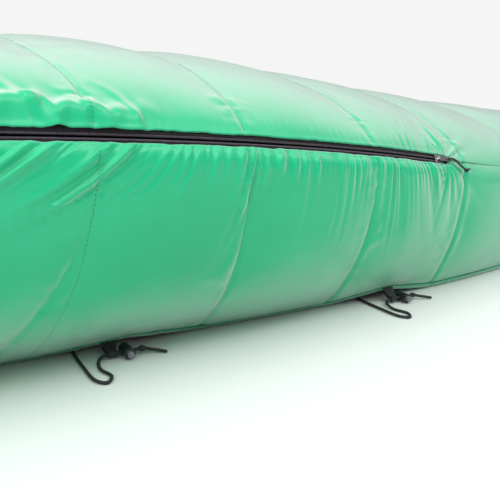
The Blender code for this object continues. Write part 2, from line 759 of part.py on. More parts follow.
def build_slider(end, x, pull_towards, with_cord, quilt, cutters):
    """One zip slider on its circle's axis, its swinging pull, and the cord loop on that pull."""
    axis = bpy.data.objects.new(f"axis_zip_slider_{end}", None)
    axis.location = ZIP_AXIS
    quilt.objects.link(axis)
    frame = zip_frame(x)
    inner_half = COIL_HALF_THICK + SLIDER_CLEARANCE
    plate_middle = inner_half + 0.5 * SLIDER_PLATE
    plate_size = (SLIDER_LENGTH, 2.0 * SLIDER_HALF_WIDTH, SLIDER_PLATE)

    slider = box(f"zip_slider_{end}", plate_size, (0.0, 0.0, plate_middle), quilt)
    underplate = box(f"underplate_{end}", plate_size, (0.0, 0.0, -plate_middle), cutters)
    web_size = (0.5 * SLIDER_LENGTH, 2.0 * SLIDER_WEB_HALF, 2.0 * plate_middle)
    web = box(f"web_{end}", web_size, (0.0, 0.0, 0.0), cutters)
    bail_base = inner_half + SLIDER_PLATE
    bail_size = (BAIL_LENGTH, 2.0 * BAIL_HALF_WIDTH, BAIL_HEIGHT + 2.0 * BAIL_SINK)
    bail = box(f"bail_{end}", bail_size, (0.0, 0.0, bail_base + 0.5 * BAIL_HEIGHT - BAIL_SINK), cutters)
    pivot = Vector((0.0, 0.0, bail_base + 0.5 * BAIL_HEIGHT))
    eye = cylinder(f"bail_eye_{end}", BAIL_HOLE_RADIUS, 4.0 * BAIL_HALF_WIDTH,
                   Vector((0.0, 1.0, 0.0)), pivot, cutters, sides=12)
    for part, operation in ((underplate, "UNION"), (web, "UNION"), (bail, "UNION"), (eye, "DIFFERENCE")):
        combine(slider, part, operation)
        part.matrix_world = frame
    slider.matrix_world = frame
    finish_object(slider, METAL_GREY, METAL_ROUGHNESS, metallic=1.0, parent=axis)

    pull_axis = bpy.data.objects.new(f"axis_zip_pull_{end}", None)
    pull_axis.matrix_world = frame @ Matrix.Translation(pivot)
    quilt.objects.link(pull_axis)
    bpy.context.view_layer.update()
    pull_axis.parent = axis
    pull_axis.matrix_parent_inverse = axis.matrix_world.inverted()

    bar_half = 0.5 * PULL_THICK
    pull_size = (PULL_LENGTH, 2.0 * PULL_HALF_WIDTH, PULL_THICK)
    pull = box(f"zip_pull_{end}", pull_size, (pull_towards * (0.5 * PULL_LENGTH - bar_half), 0.0, 0.0), quilt)
    window_near, window_far = bar_half, 0.5 * BAIL_LENGTH + PULL_WINDOW_END_GAP
    window_size = (window_far - window_near, 2.0 * (BAIL_HALF_WIDTH + PULL_WINDOW_SIDE_GAP),
                   4.0 * PULL_THICK)
    window_middle = (pull_towards * 0.5 * (window_near + window_far), 0.0, 0.0)
    window = box(f"pull_window_{end}", window_size, window_middle, cutters)
    hole_middle = Vector((pull_towards * (PULL_LENGTH - PULL_HOLE_FROM_TIP), 0.0, 0.0))
    hole = cylinder(f"pull_hole_{end}", PULL_HOLE_RADIUS, 4.0 * PULL_THICK, Vector((0.0, 0.0, 1.0)),
                    hole_middle, cutters, sides=12)
    for part in (window, hole):
        combine(pull, part, "DIFFERENCE")
        part.matrix_world = pull_axis.matrix_world
    pull.matrix_world = pull_axis.matrix_world
    finish_object(pull, METAL_GREY, METAL_ROUGHNESS, metallic=1.0, parent=pull_axis)
    if with_cord:
        build_pull_cord(hole_middle, pull_axis, quilt)


def build_pull_cord(hole_middle, pull_axis, quilt):
    """A thin cord hitched through the pull's hole: up through it, then out along the seam to a knot."""
    anchors = [
        hole_middle + Vector((-0.0002, 0.0, -0.0018)),
        hole_middle + Vector((0.0001, 0.0, 0.0002)),
        hole_middle + Vector((0.0022, -0.0004, 0.0030)),
        hole_middle + Vector((0.0090, -0.0030, 0.0034)),
        hole_middle + Vector((0.0180, -0.0085, 0.0030)),
        hole_middle + Vector((0.0260, -0.0120, 0.0028)),
        hole_middle + Vector((0.0330, -0.0100, 0.0030)),
    ]
    points = smooth_route(anchors, 2.0 * PULL_CORD_RADIUS)
    knot = round(len(points) * PULL_KNOT_SHARE)
    cord = poly_tube("zip_pull_cord", points, PULL_CORD_RADIUS, quilt,
                     swell={knot - 1: 1.6, knot: 2.0, knot + 1: 1.6})
    cord.matrix_world = pull_axis.matrix_world
    finish_object(cord, BLACK_WEBBING, FABRIC_ROUGHNESS, parent=pull_axis)


def near_binding_y(x):
    """The outermost place of the near hem's binding at x."""
    section = Section(x)
    return section.point(section.near_hem(BINDING_HEIGHT + hem_lift(x))).y


def lock_line_y(x):
    return near_binding_y(x) - LOCK_LINE_OFF


def build_tab(number, x, quilt, cutters):
    """Folded webbing at the near hem, with the cord running through the fold at its tip."""
    hem_low = hem_lift(x) + TAB_ABOVE_TOE
    hem_y = near_binding_y(x) - TAB_HEM_GAP
    line_y = lock_line_y(x)
    name = f"strap_tab_{number}"

    def corners(share):
        y = hem_y + (line_y + TAB_TIP_OVERLAP - hem_y) * share
        half = TAB_HALF_WIDTH + (TAB_TIP_HALF_WIDTH - TAB_HALF_WIDTH) * share
        low = hem_low + (LOCK_LINE_Z - TAB_BELOW_CORD - hem_low) * share
        high = low + TAB_HEIGHT
        return [Vector((x - half, y, low)), Vector((x - half, y, high)),
                Vector((x + half, y, high)), Vector((x + half, y, low))]

    obj = new_object(name, strip_along(name, corners, [0.0, 0.5, 1.0]), quilt)
    along_x = Vector((1.0, 0.0, 0.0))
    tip = Vector((x, line_y, LOCK_LINE_Z))
    fold = cylinder(f"fold_{number}", TAB_TIP_RADIUS, 2.0 * TAB_TIP_HALF_WIDTH, along_x, tip, cutters)
    passage = cylinder(f"fold_hole_{number}", CORD_BORE_RADIUS, 0.03, along_x, tip, cutters)
    combine(obj, fold, "UNION")
    combine(obj, passage, "DIFFERENCE")
    finish_object(obj, BLACK_WEBBING, FABRIC_ROUGHNESS)


def build_lock(number, x, quilt, cutters):
    """A sprung cord lock: a barrel across the cord, a plunger with a slot, and the spring behind it."""
    centre = Vector((x + LOCK_OFFSET_X, lock_line_y(x), LOCK_LINE_Z))
    axis = bpy.data.objects.new(f"axis_cord_lock_{number}", None)
    axis.location = centre
    quilt.objects.link(axis)
    along_y, along_x = Vector((0.0, 1.0, 0.0)), Vector((1.0, 0.0, 0.0))

    length = LOCK_BACK_Y + LOCK_FRONT_Y
    middle = Vector((0.0, 0.5 * (LOCK_BACK_Y - LOCK_FRONT_Y), 0.0))
    barrel = cylinder(f"cord_lock_body_{number}", LOCK_RADIUS, length, along_y, middle, quilt, sides=20)
    cavity_length = length - LOCK_WALL + 0.002
    cavity_middle = Vector((0.0, LOCK_BACK_Y - LOCK_WALL - 0.5 * cavity_length, 0.0))
    cavity = cylinder(f"lock_cavity_{number}", LOCK_BORE_RADIUS, cavity_length, along_y,
                      cavity_middle, cutters)
    passage = cylinder(f"lock_hole_{number}", CORD_BORE_RADIUS, 0.03, along_x, Vector((0, 0, 0)), cutters)
    for part in (cavity, passage):
        combine(barrel, part, "DIFFERENCE")
        part.location = centre
    barrel.location = centre
    finish_object(barrel, PLASTIC_BLACK, PLASTIC_ROUGHNESS, parent=axis)

    plunger_length = PLUNGER_BACK_Y + PLUNGER_FRONT_Y
    plunger_middle = Vector((0.0, 0.5 * (PLUNGER_BACK_Y - PLUNGER_FRONT_Y), 0.0))
    plunger = cylinder(f"cord_lock_plunger_{number}", PLUNGER_RADIUS, plunger_length, along_y,
                       plunger_middle, quilt)
    slot_middle = Vector((0.0, -0.5 * PLUNGER_TRAVEL, 0.0))
    slot_size = (0.03, 2.0 * CORD_BORE_RADIUS + PLUNGER_TRAVEL, 2.0 * CORD_BORE_RADIUS)
    slot = box(f"plunger_slot_{number}", slot_size, slot_middle, cutters)
    combine(plunger, slot, "DIFFERENCE")
    slot.location = centre
    plunger.location = centre
    finish_object(plunger, PLUNGER_GREY, PLASTIC_ROUGHNESS, parent=axis)

    seat = LOCK_BACK_Y - LOCK_WALL - SPRING_SEAT_GAP - SPRING_WIRE
    steps = 10 * SPRING_TURNS
    coil = []
    for i in range(steps + 1):
        turn = 2.0 * math.pi * SPRING_TURNS * i / steps
        spot = Vector((SPRING_RADIUS * math.cos(turn), seat - SPRING_LENGTH * i / steps,
                       SPRING_RADIUS * math.sin(turn)))
        coil.append(spot)
    spring = poly_tube(f"cord_lock_spring_{number}", coil, SPRING_WIRE, quilt)
    spring.location = centre
    finish_object(spring, SPRING_STEEL, METAL_ROUGHNESS, metallic=1.0, parent=axis)


def cord_anchors(x):
    """The pad cord's route: free tail, lock, tab fold, a slack bight on the floor, then under the quilt."""
    line_y, line_z, floor_z = lock_line_y(x), LOCK_LINE_Z, CORD_FLOOR_Z
    return [
        Vector((x + KNOT_X + TAIL_LENGTH, line_y - 0.0090, floor_z)),
        Vector((x + KNOT_X + 0.5 * TAIL_LENGTH, line_y - 0.0035, 0.0034)),
        Vector((x + KNOT_X, line_y, line_z)),
        Vector((x + 0.0200, line_y, line_z)),
        Vector((x + 0.0080, line_y, line_z)),
        Vector((x - 0.0060, line_y, line_z)),
        Vector((x - 0.0140, line_y - 0.0060, 0.0034)),
        Vector((x - 0.0165, line_y - 0.0200, floor_z)),
        Vector((x - 0.0125, line_y - 0.0370, floor_z)),
        Vector((x - 0.0195, line_y - 0.0480, floor_z)),
        Vector((x - 0.0270, line_y - 0.0380, floor_z)),
        Vector((x - 0.0280, line_y - 0.0100, floor_z)),
        Vector((x - 0.0270, line_y + 0.0300, floor_z)),
        Vector((x - 0.0200, -0.1300, floor_z)),
        Vector((x - 0.0080, 0.0000, floor_z)),
        Vector((x - 0.0020, 0.1300, floor_z)),
        Vector((x, HEM_HALF_WIDTH - FAR_CORD_END, floor_z)),
    ]


def build_straps(quilt, cutters):
    for number, x in enumerate(STRAP_X, start=1):
        build_tab(number, x, quilt, cutters)
        build_lock(number, x, quilt, cutters)
        points = smooth_route(cord_anchors(x), 0.0095)
        knot_spot = Vector((x + KNOT_X, lock_line_y(x), LOCK_LINE_Z))
        points = [p for p in points if (p - knot_spot).length > 1.5 * KNOT_HALF_LENGTH]
        knot = sum(1 for p in points if p.x > knot_spot.x and p.y < lock_line_y(x) - 0.001)
        half = Vector((KNOT_HALF_LENGTH, 0.0, 0.0))
        points[knot:knot] = [knot_spot + half, knot_spot, knot_spot - half]
        cord = poly_tube(f"pad_cord_{number}", points, CORD_RADIUS, quilt, swell={knot + 1: KNOT_SWELL})
        finish_object(cord, BLACK_WEBBING, FABRIC_ROUGHNESS)
        loop_start = HEM_HALF_WIDTH - FAR_CORD_END + LOOP_CORD_GAP
        loop_end = HEM_HALF_WIDTH - EDGE_WRAP - LOOP_HEM_GAP
        loop_size = (LOOP_WIDTH, loop_end - loop_start, LOOP_HEIGHT)
        loop_middle = Vector((x, 0.5 * (loop_start + loop_end), LOOP_MIDDLE_Z))
        loop = box(f"strap_loop_far_{number}", loop_size, loop_middle, quilt)
        finish_object(loop, BLACK_WEBBING, FABRIC_ROUGHNESS)


def main():
    clear_scene()
    quilt = make_collection("camp_quilt", visible=True)
    cutters = make_collection("cutters", visible=False)
    build_cloth(quilt)
    build_chambers(quilt)
    build_foot_end(quilt)
    build_footbox_floor(quilt)
    build_bindings(quilt)
    build_zip(quilt)
    build_slider("foot", SLIDER_FOOT_X, 1.0, True, quilt, cutters)
    build_slider("head", SLIDER_HEAD_X, -1.0, False, quilt, cutters)
    build_straps(quilt, cutters)
    for obj in quilt.objects:
        if obj.type == "MESH" and obj.name.startswith("cord_lock"):
            soften_edges(obj)


main()
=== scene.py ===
"""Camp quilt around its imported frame: shell, lining, zip, pad cords and their locks, on a pale floor.

The frame is the CAD's: +X to the foot, the zip on the -Y side, +Z up, metres, origin on the floor.
"""

import math

import bmesh
import bpy
import numpy as np
from mathutils import Matrix, Vector


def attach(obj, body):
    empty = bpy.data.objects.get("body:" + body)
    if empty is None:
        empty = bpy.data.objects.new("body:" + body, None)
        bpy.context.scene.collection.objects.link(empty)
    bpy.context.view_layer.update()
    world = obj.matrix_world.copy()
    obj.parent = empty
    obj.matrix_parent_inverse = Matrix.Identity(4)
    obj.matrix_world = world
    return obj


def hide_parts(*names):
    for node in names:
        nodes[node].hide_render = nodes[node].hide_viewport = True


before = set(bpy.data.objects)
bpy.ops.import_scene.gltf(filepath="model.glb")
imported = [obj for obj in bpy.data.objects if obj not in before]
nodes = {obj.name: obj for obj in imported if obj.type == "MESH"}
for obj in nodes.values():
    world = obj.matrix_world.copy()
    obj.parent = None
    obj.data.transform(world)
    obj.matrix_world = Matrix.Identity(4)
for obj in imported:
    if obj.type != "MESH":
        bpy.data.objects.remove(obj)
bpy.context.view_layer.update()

scene = bpy.context.scene

# The quilt's outline and panels, as the CAD has them.
PITCH = 0.150
CHAMBERS = 12
SPLIT_CHAMBERS = 10
HEAD_X = -0.975
ARCH_FOOT_X = HEAD_X + CHAMBERS * PITCH
SPLIT_END_X = HEAD_X + SPLIT_CHAMBERS * PITCH
FOOT_X = 0.985
APEX_HEIGHT = 0.286
FOOT_DROP = 0.092
HEAD_DROP = 0.025
HEM_HALF_WIDTH = 0.248
HEM_FOOT_TAPER = 0.042
LOFT = 0.038
EDGE_LOFT = 0.006
SHEET = 0.001
SHEET_GAP = 0.0005
BINDING_WIDTH = EDGE_LOFT + SHEET + SHEET_GAP
SIDE_EDGE_SHARE, TOP_EDGE_SHARE = 0.5, 0.25
SIDE_SKEW, TOP_SKEW = 1.0, 0.36

ZIP_RADIUS = 2.30
ZIP_LEAN = math.radians(30.0)
ZIP_CROWN = np.array((-0.190, -0.384, 0.2075))
ZIP_HEAD_X = -0.9735
ZIP_FOOT_X = 0.490
ZIP_UP = np.array((0.0, math.sin(ZIP_LEAN), math.cos(ZIP_LEAN)))
ZIP_OUT = np.array((0.0, -math.cos(ZIP_LEAN), math.sin(ZIP_LEAN)))
ZIP_DEPTH = 0.0030
SEAM_STRAIGHTENING = 0.45
ZIP_EDGE = 0.0055
SEWN_EDGE = 0.0002
SHELL_CLOSING = (ZIP_FOOT_X + 0.002, ZIP_FOOT_X + 0.010)
SHELL_HEM_GAP = 0.0004
LINING_ZIP_EDGE = 0.0078
LINING_CLOSING = (ZIP_FOOT_X + 0.004, SPLIT_END_X)
COIL_MIDDLE = 0.00205
COIL_REACH = 0.00125
COIL_HALF_THICK = 0.0010
COIL_PITCH = 0.0012
TUBE_RADIUS = 0.008
TUBE_DEPTH = 0.015

BINDING_HEIGHT = 0.0065
NECK_LENGTH = 0.010
HEM_LIFT = 0.010
FLOOR_PAD_X = 0.600
FLOOR_PAD_LOFT = 0.034
FLOOR_PAD_INSET = 0.0085
DOME_FULLNESS = 0.6
DOME_END = math.radians(89.6)

# Pad cords: the CAD's own route.
STRAP_X = (0.130, 0.450)
LIFT_X = (0.150, 0.450)
CORD_RADIUS = 0.0015
CORD_FLOOR_Z = 0.0017
LOCK_LINE_OFF = 0.012
LOCK_LINE_Z = 0.0053
KNOT_X = 0.0275
TAIL_LENGTH = 0.0200
PULL_LENGTH = 0.021
PULL_CORD_RADIUS = 0.0011
PULL_PIVOT = Vector((0.479249, -0.301704, 0.159986))
SLIDER_FOOT_X = 0.478


def ease(value, start, end):
    t = np.clip((value - start) / (end - start), 0.0, 1.0)
    return t * t * (3.0 - 2.0 * t)


def bell(distance, width):
    """1 at no distance, and little beyond the width."""
    return np.exp(-(distance / width) ** 2)


def unit(vectors):
    return vectors / np.maximum(np.linalg.norm(vectors, axis=-1, keepdims=True), 1e-12)


def lengths_along(points):
    """How far along a line of points each one is."""
    return np.concatenate([[0.0], np.cumsum(np.linalg.norm(np.diff(points, axis=0), axis=1))])


def read_along(at, along, values):
    """Rows of values, read at places between the ones at along."""
    return np.stack([np.interp(at, along, values[:, k]) for k in range(3)], axis=1)


def apex_height(x):
    return APEX_HEIGHT - FOOT_DROP * ease(x, 0.0, 0.95) - HEAD_DROP * ease(-x, 0.5, 0.975)


def hem_half_width(x):
    return HEM_HALF_WIDTH - HEM_FOOT_TAPER * ease(x, 0.50, 0.85)


def zip_angle(x):
    return np.arcsin((x - ZIP_CROWN[0]) / ZIP_RADIUS)


def zip_line(x):
    """Middle of the zip at each x, and of the sewn seam that carries on from it."""
    x = np.asarray(x, float)
    on_arc = np.minimum(x, ZIP_FOOT_X)
    sagitta = ZIP_RADIUS * (1.0 - np.cos(zip_angle(on_arc)))
    beyond = x - on_arc
    run = np.tan(zip_angle(on_arc)) * beyond - 0.5 * SEAM_STRAIGHTENING * beyond ** 2
    y = ZIP_CROWN[1] - ZIP_OUT[1] * sagitta + run * math.cos(ZIP_LEAN)
    z = ZIP_CROWN[2] - ZIP_OUT[2] * sagitta - run * math.sin(ZIP_LEAN)
    return np.stack([x, y, z], axis=-1)


class Outline:
    """The quilt's outline at each x: from -hem_angle at the near hem, over the top, to pi + hem_angle."""

    def __init__(self, x):
        x = np.atleast_1d(np.asarray(x, float))
        seam = zip_line(x) + ZIP_OUT * ZIP_DEPTH
        above = apex_height(x) - seam[:, 2]
        lean = math.tan(ZIP_LEAN)
        above_widest = lean * above ** 2 / (abs(seam[:, 1]) - 2.0 * lean * above)
        belly = seam[:, 2] - above_widest
        rise = apex_height(x) - belly
        seam_angle = np.arcsin(above_widest / rise)
        half_width = abs(seam[:, 1]) / np.cos(seam_angle)
        self.x, self.belly, self.rise = x[:, None], belly[:, None], rise[:, None]
        self.seam_angle, self.half_width = seam_angle[:, None], half_width[:, None]
        self.hem_angle = np.arccos(hem_half_width(x) / half_width)[:, None]
        self.speed = np.hypot(self.half_width * np.sin(self.seam_angle), self.rise * np.cos(self.seam_angle))

    def scale(self, angle):
        upper = (angle >= 0.0) & (angle <= math.pi)
        return np.where(upper, self.rise, self.belly / np.sin(self.hem_angle))

    def point(self, angle):
        z = self.belly + self.scale(angle) * np.sin(angle)
        y = -self.half_width * np.cos(angle)
        return np.stack([self.x + 0.0 * angle, y, z], axis=-1)

    def out(self, angle):
        y, z = -self.scale(angle) * np.cos(angle), self.half_width * np.sin(angle)
        size = np.hypot(y, z)
        return np.stack([0.0 * angle, y / size, z / size], axis=-1)

    def inward(self, angle):
        down = np.where((angle >= 0.0) & (angle <= math.pi), -np.sin(angle), 0.0)
        return np.stack([0.0 * angle, np.cos(angle) + 0.0 * self.x, down], axis=-1)

    def near_hem(self, height):
        return -np.arcsin(np.sin(self.hem_angle) * (1.0 - height / self.belly))

    def far_hem(self, height):
        return math.pi - self.near_hem(height)


def hem_lift(x):
    nearest = np.min([abs(x - middle) for middle in LIFT_X], axis=0)
    return HEM_LIFT * np.maximum(0.0, 1.0 - nearest / (0.5 * PITCH))


def noise1(v, seed):
    """Smooth random values along one line, from -1 to 1, one new value each unit."""
    table = np.random.default_rng(seed).uniform(-1.0, 1.0, 4096)
    i = np.floor(v).astype(int)
    f = v - i
    f = f * f * (3.0 - 2.0 * f)
    return table[i % 4096] * (1.0 - f) + table[(i + 1) % 4096] * f


def noise2(a, b, seed):
    """Smooth random values over a surface, from -1 to 1."""
    table = np.random.default_rng(seed).uniform(-1.0, 1.0, (256, 256))
    i, j = np.floor(a).astype(int), np.floor(b).astype(int)
    f, g = a - i, b - j
    f, g = f * f * (3.0 - 2.0 * f), g * g * (3.0 - 2.0 * g)
    i, j, k, m = i % 256, j % 256, (i + 1) % 256, (j + 1) % 256
    low = table[i, j] * (1.0 - f) + table[k, j] * f
    high = table[i, m] * (1.0 - f) + table[k, m] * f
    return low * (1.0 - g) + high * g


def link(obj):
    scene.collection.objects.link(obj)
    return obj


def grid_mesh(name, points, flipped=False, wrap=False):
    """A mesh of quads over a grid of points."""
    rows, columns = points.shape[:2]
    index = np.arange(rows * columns).reshape(rows, columns)
    if wrap:
        index = np.hstack([index, index[:, :1]])
    quads = np.stack([index[:-1, :-1], index[1:, :-1], index[1:, 1:], index[:-1, 1:]], axis=-1).reshape(-1, 4)
    if flipped:
        quads = quads[:, ::-1]
    mesh = bpy.data.meshes.new(name)
    mesh.from_pydata(points.reshape(-1, 3).tolist(), [], quads.tolist())
    mesh.shade_smooth()
    return mesh


def bar_mesh(name, loops, flipped=False):
    """A closed tube through loops of points, with a flat face at each end."""
    count = loops.shape[1]
    mesh = grid_mesh(name, loops, flipped, wrap=True)
    work = bmesh.new()
    work.from_mesh(mesh)
    work.verts.ensure_lookup_table()
    for first in (0, (loops.shape[0] - 1) * count):
        work.faces.new([work.verts[first + k] for k in range(count)])
    bmesh.ops.recalc_face_normals(work, faces=work.faces)
    work.to_mesh(mesh)
    work.free()
    mesh.shade_smooth()
    return mesh


def piece(name, mesh, material, body="quilt", replaces=()):
    """A new visible piece riding on a CAD body."""
    obj = link(bpy.data.objects.new(name, mesh))
    mesh.materials.append(material)
    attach(obj, body)
    if replaces:
        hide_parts(*replaces)
    return obj


# ---------------------------------------------------------------- camera and cords

CAMERA_LENS = 48.87
CAMERA_PLACE = (-0.0312, -0.8245, 0.2304)
CAMERA_DOWN, CAMERA_RIGHT = 13.43, 28.75

# The pad cord from its tail back to the bight: x from the tab, y from the lock's line, z.
PAD_CORD_BY_LOCK = (
    (KNOT_X + TAIL_LENGTH, -0.0090, CORD_FLOOR_Z),
    (KNOT_X + 0.5 * TAIL_LENGTH, -0.0035, 0.0034),
    (KNOT_X, 0.0, LOCK_LINE_Z),
    (0.0200, 0.0, LOCK_LINE_Z),
    (0.0080, 0.0, LOCK_LINE_Z),
    (-0.0060, 0.0, LOCK_LINE_Z),
    (-0.0140, -0.0060, 0.0034),
    (-0.0165, -0.0200, CORD_FLOOR_Z),
    (-0.0125, -0.0370, CORD_FLOOR_Z),
    (-0.0195, -0.0480, CORD_FLOOR_Z),
    (-0.0270, -0.0380, CORD_FLOOR_Z),
    (-0.0280, -0.0100, CORD_FLOOR_Z),
    (-0.0270, 0.0300, CORD_FLOOR_Z),
)
# On under the quilt to the far loop: x from the tab, and y.
PAD_CORD_UNDER = ((-0.0200, -0.1300), (-0.0080, 0.0), (-0.0020, 0.1300), (0.0, HEM_HALF_WIDTH - 0.0220))
# The pull's cord: along the pull from its hole, across it, and out from the cloth.
PULL_CORD = ((-0.0002, 0.0, -0.0018), (0.0001, 0.0, 0.0002), (0.0022, -0.0004, 0.0030),
             (0.0090, -0.0030, 0.0034), (0.0180, -0.0085, 0.0030), (0.0260, -0.0120, 0.0028),
             (0.0330, -0.0100, 0.0030))
PULL_HOLE = Vector((PULL_LENGTH - 0.0035, 0.0, 0.0))
PULL_KNOT_SHARE = 0.80
BRAID_DEPTH = 0.04
CORD_END = (1.0, 0.97, 0.88, 0.70)


def make_camera():
    data = bpy.data.cameras.new("camera")
    data.sensor_width = 36.0
    data.lens = CAMERA_LENS
    data.clip_start = 0.02
    camera = link(bpy.data.objects.new("camera", data))
    camera.location = CAMERA_PLACE
    camera.rotation_euler = (math.radians(90.0 - CAMERA_DOWN), 0.0, math.radians(-CAMERA_RIGHT))
    scene.camera = camera


def smooth_route(anchors, spacing):
    """Evenly spaced points on a Catmull-Rom curve through given anchors."""
    ends = [2 * anchors[0] - anchors[1]] + anchors + [2 * anchors[-1] - anchors[-2]]
    fine = []
    for a, b, c, d in zip(ends, ends[1:], ends[2:], ends[3:]):
        for i in range(24):
            t = i / 24
            fine.append(0.5 * (2 * b + (c - a) * t + (2 * a - 5 * b + 4 * c - d) * t * t
                               + (3 * b - a - 3 * c + d) * t ** 3))
    fine.append(anchors[-1])
    fine = np.array(fine)
    along = lengths_along(fine)
    return read_along(np.linspace(0.0, along[-1], max(2, round(along[-1] / spacing)) + 1), along, fine)


def near_binding_y(x):
    section = Outline(x)
    return float(section.point(section.near_hem(BINDING_HEIGHT + hem_lift(np.array([x]))))[0, 0, 1])


def pad_cord_anchors(x):
    line_y = near_binding_y(x) - LOCK_LINE_OFF
    by_lock = [Vector((x + along, line_y + across, z)) for along, across, z in PAD_CORD_BY_LOCK]
    return by_lock + [Vector((x + along, y, CORD_FLOOR_Z)) for along, y in PAD_CORD_UNDER]


def tube_mesh(name, route, radii, sides=12, twist=0.0):
    """A round tube along a route, with a radius for each point; twist turns its ribs as it goes."""
    route = np.asarray(route, float)
    tangent = unit(np.gradient(route, axis=0))
    side = np.cross(tangent[0], (0.0, 0.0, 1.0))
    if np.linalg.norm(side) < 0.1:
        side = np.cross(tangent[0], (0.0, 1.0, 0.0))
    side = unit(side)
    turns = np.linspace(0.0, 2.0 * math.pi, sides, endpoint=False)
    rings = []
    for i, (spot, ahead, radius) in enumerate(zip(route, tangent, radii)):
        side = unit(side - ahead * (side @ ahead))
        other = np.cross(ahead, side)
        angle = turns + twist * i
        rings.append(spot + radius * (np.cos(angle)[:, None] * side + np.sin(angle)[:, None] * other))
    return bar_mesh(name, np.array(rings), flipped=True)


def braided(route, radius, knot):
    """Radii of a braided cord: a fine ripple, and a swelling with three wraps at its knot."""
    along = lengths_along(route)
    radii = radius * (1.0 + BRAID_DEPTH * np.sin(along * 2.0 * math.pi / (2.2 * radius)))
    at = along - along[int(np.linalg.norm(route - np.asarray(knot), axis=1).argmin())]
    swelling = np.clip(1.0 - (at / (2.1 * radius)) ** 2, 0.0, 1.0) ** 0.5
    return radii + radius * swelling * (0.85 + 0.22 * np.cos(at * 2.0 * math.pi / (1.35 * radius)))


def make_pad_cords(material):
    for number, x in enumerate(STRAP_X, start=1):
        route = smooth_route(pad_cord_anchors(x), 0.0012)[::-1]
        line_y = near_binding_y(x) - LOCK_LINE_OFF
        radii = braided(route, CORD_RADIUS, (x + KNOT_X, line_y, LOCK_LINE_Z))
        radii[-len(CORD_END):] *= CORD_END
        cord = piece(f"pad_elastic_{number}", tube_mesh("pad_elastic", route, radii, twist=0.09),
                     material, replaces=[f"pad_cord_{number}"])


def make_pull_cord(material):
    """The thin cord on the foot pull: out through the pull's hole to a knot and a short tail."""
    frame_at = zip_matrix(SLIDER_FOOT_X)
    frame_at.translation = PULL_PIVOT
    anchors = [PULL_HOLE + Vector(spot) for spot in PULL_CORD]
    route = np.array([frame_at @ Vector(p) for p in smooth_route(anchors, 0.0007)])
    radii = braided(route, PULL_CORD_RADIUS, route[round(len(route) * PULL_KNOT_SHARE)])
    cord = piece("pull_cord", tube_mesh("pull_cord", route, radii, twist=0.12), material,
                 body="zip_pull_foot", replaces=["zip_pull_cord"])


def zip_matrix(x):
    """Local axes on the zip: X along it towards the foot, Y across it upwards, Z out of the quilt."""
    turn = float(zip_angle(x))
    along = np.array((math.cos(turn), 0.0, 0.0)) - ZIP_OUT * math.sin(turn)
    out = ZIP_OUT * math.cos(turn) + np.array((math.sin(turn), 0.0, 0.0))
    matrix = Matrix((along.tolist(), ZIP_UP.tolist(), out.tolist())).transposed().to_4x4()
    matrix.translation = zip_line(x).tolist()
    return matrix


# ---------------------------------------------------------------- materials

class Nodes:
    """Short calls for building the node tree of a material, or of the world."""

    def __init__(self, holder, shader="Principled BSDF"):
        self.holder = holder
        holder.use_nodes = True
        self.tree = holder.node_tree
        self.shader = self.tree.nodes[shader]

    def add(self, kind, settings=None, **inputs):
        node = self.tree.nodes.new(kind)
        for key, value in (settings or {}).items():
            setattr(node, key, value)
        for key, value in inputs.items():
            self.set(node.inputs[key.replace("_", " ")], value)
        return node

    def set(self, socket, value):
        if isinstance(value, bpy.types.NodeSocket):
            self.tree.links.new(value, socket)
        else:
            socket.default_value = value

    def place(self, scale=(1.0, 1.0, 1.0), rotation=(0.0, 0.0, 0.0)):
        coordinates = self.add("ShaderNodeTexCoord").outputs["Object"]
        mapping = self.add("ShaderNodeMapping", Vector=coordinates, Scale=scale, Rotation=rotation)
        return mapping.outputs["Vector"]

    def noise(self, scale, detail=2.0, roughness=0.5, vector=None):
        node = self.add("ShaderNodeTexNoise", Vector=vector or self.place(), Scale=scale, Detail=detail,
                        Roughness=roughness)
        return node.outputs["Fac"]

    def wave(self, scale, vector, direction="X", distortion=0.0):
        node = self.add("ShaderNodeTexWave", {"bands_direction": direction}, Vector=vector, Scale=scale,
                        Distortion=distortion)
        return node.outputs["Fac"]

    def math(self, operation, a, b):
        node = self.add("ShaderNodeMath", {"operation": operation})
        self.set(node.inputs[0], a)
        self.set(node.inputs[1], b)
        return node.outputs[0]

    def mix(self, factor, a, b):
        node = self.add("ShaderNodeMix", {"data_type": "RGBA"})
        for socket, value in ((0, factor), (6, a), (7, (*b, 1.0))):
            self.set(node.inputs[socket], value)
        return node.outputs[2]

    def ramp(self, factor, *stops):
        node = self.add("ShaderNodeValToRGB", Fac=factor)
        elements = node.color_ramp.elements
        while len(elements) < len(stops):
            elements.new(0.5)
        for element, (place, colour) in zip(elements, stops):
            element.position = place
            element.color = (*colour, 1.0)
        return node.outputs["Color"]

    def span(self, value, low, high):
        return self.add("ShaderNodeMapRange", Value=value, To_Min=low, To_Max=high).outputs["Result"]

    def bump(self, height, distance, strength, under=None):
        node = self.add("ShaderNodeBump", Height=height, Distance=distance, Strength=strength)
        if under is not None:
            self.set(node.inputs["Normal"], under)
        return node.outputs["Normal"]

    def finish(self, **inputs):
        for key, value in inputs.items():
            self.set(self.shader.inputs[key.replace("_", " ")], value)
        return self.holder


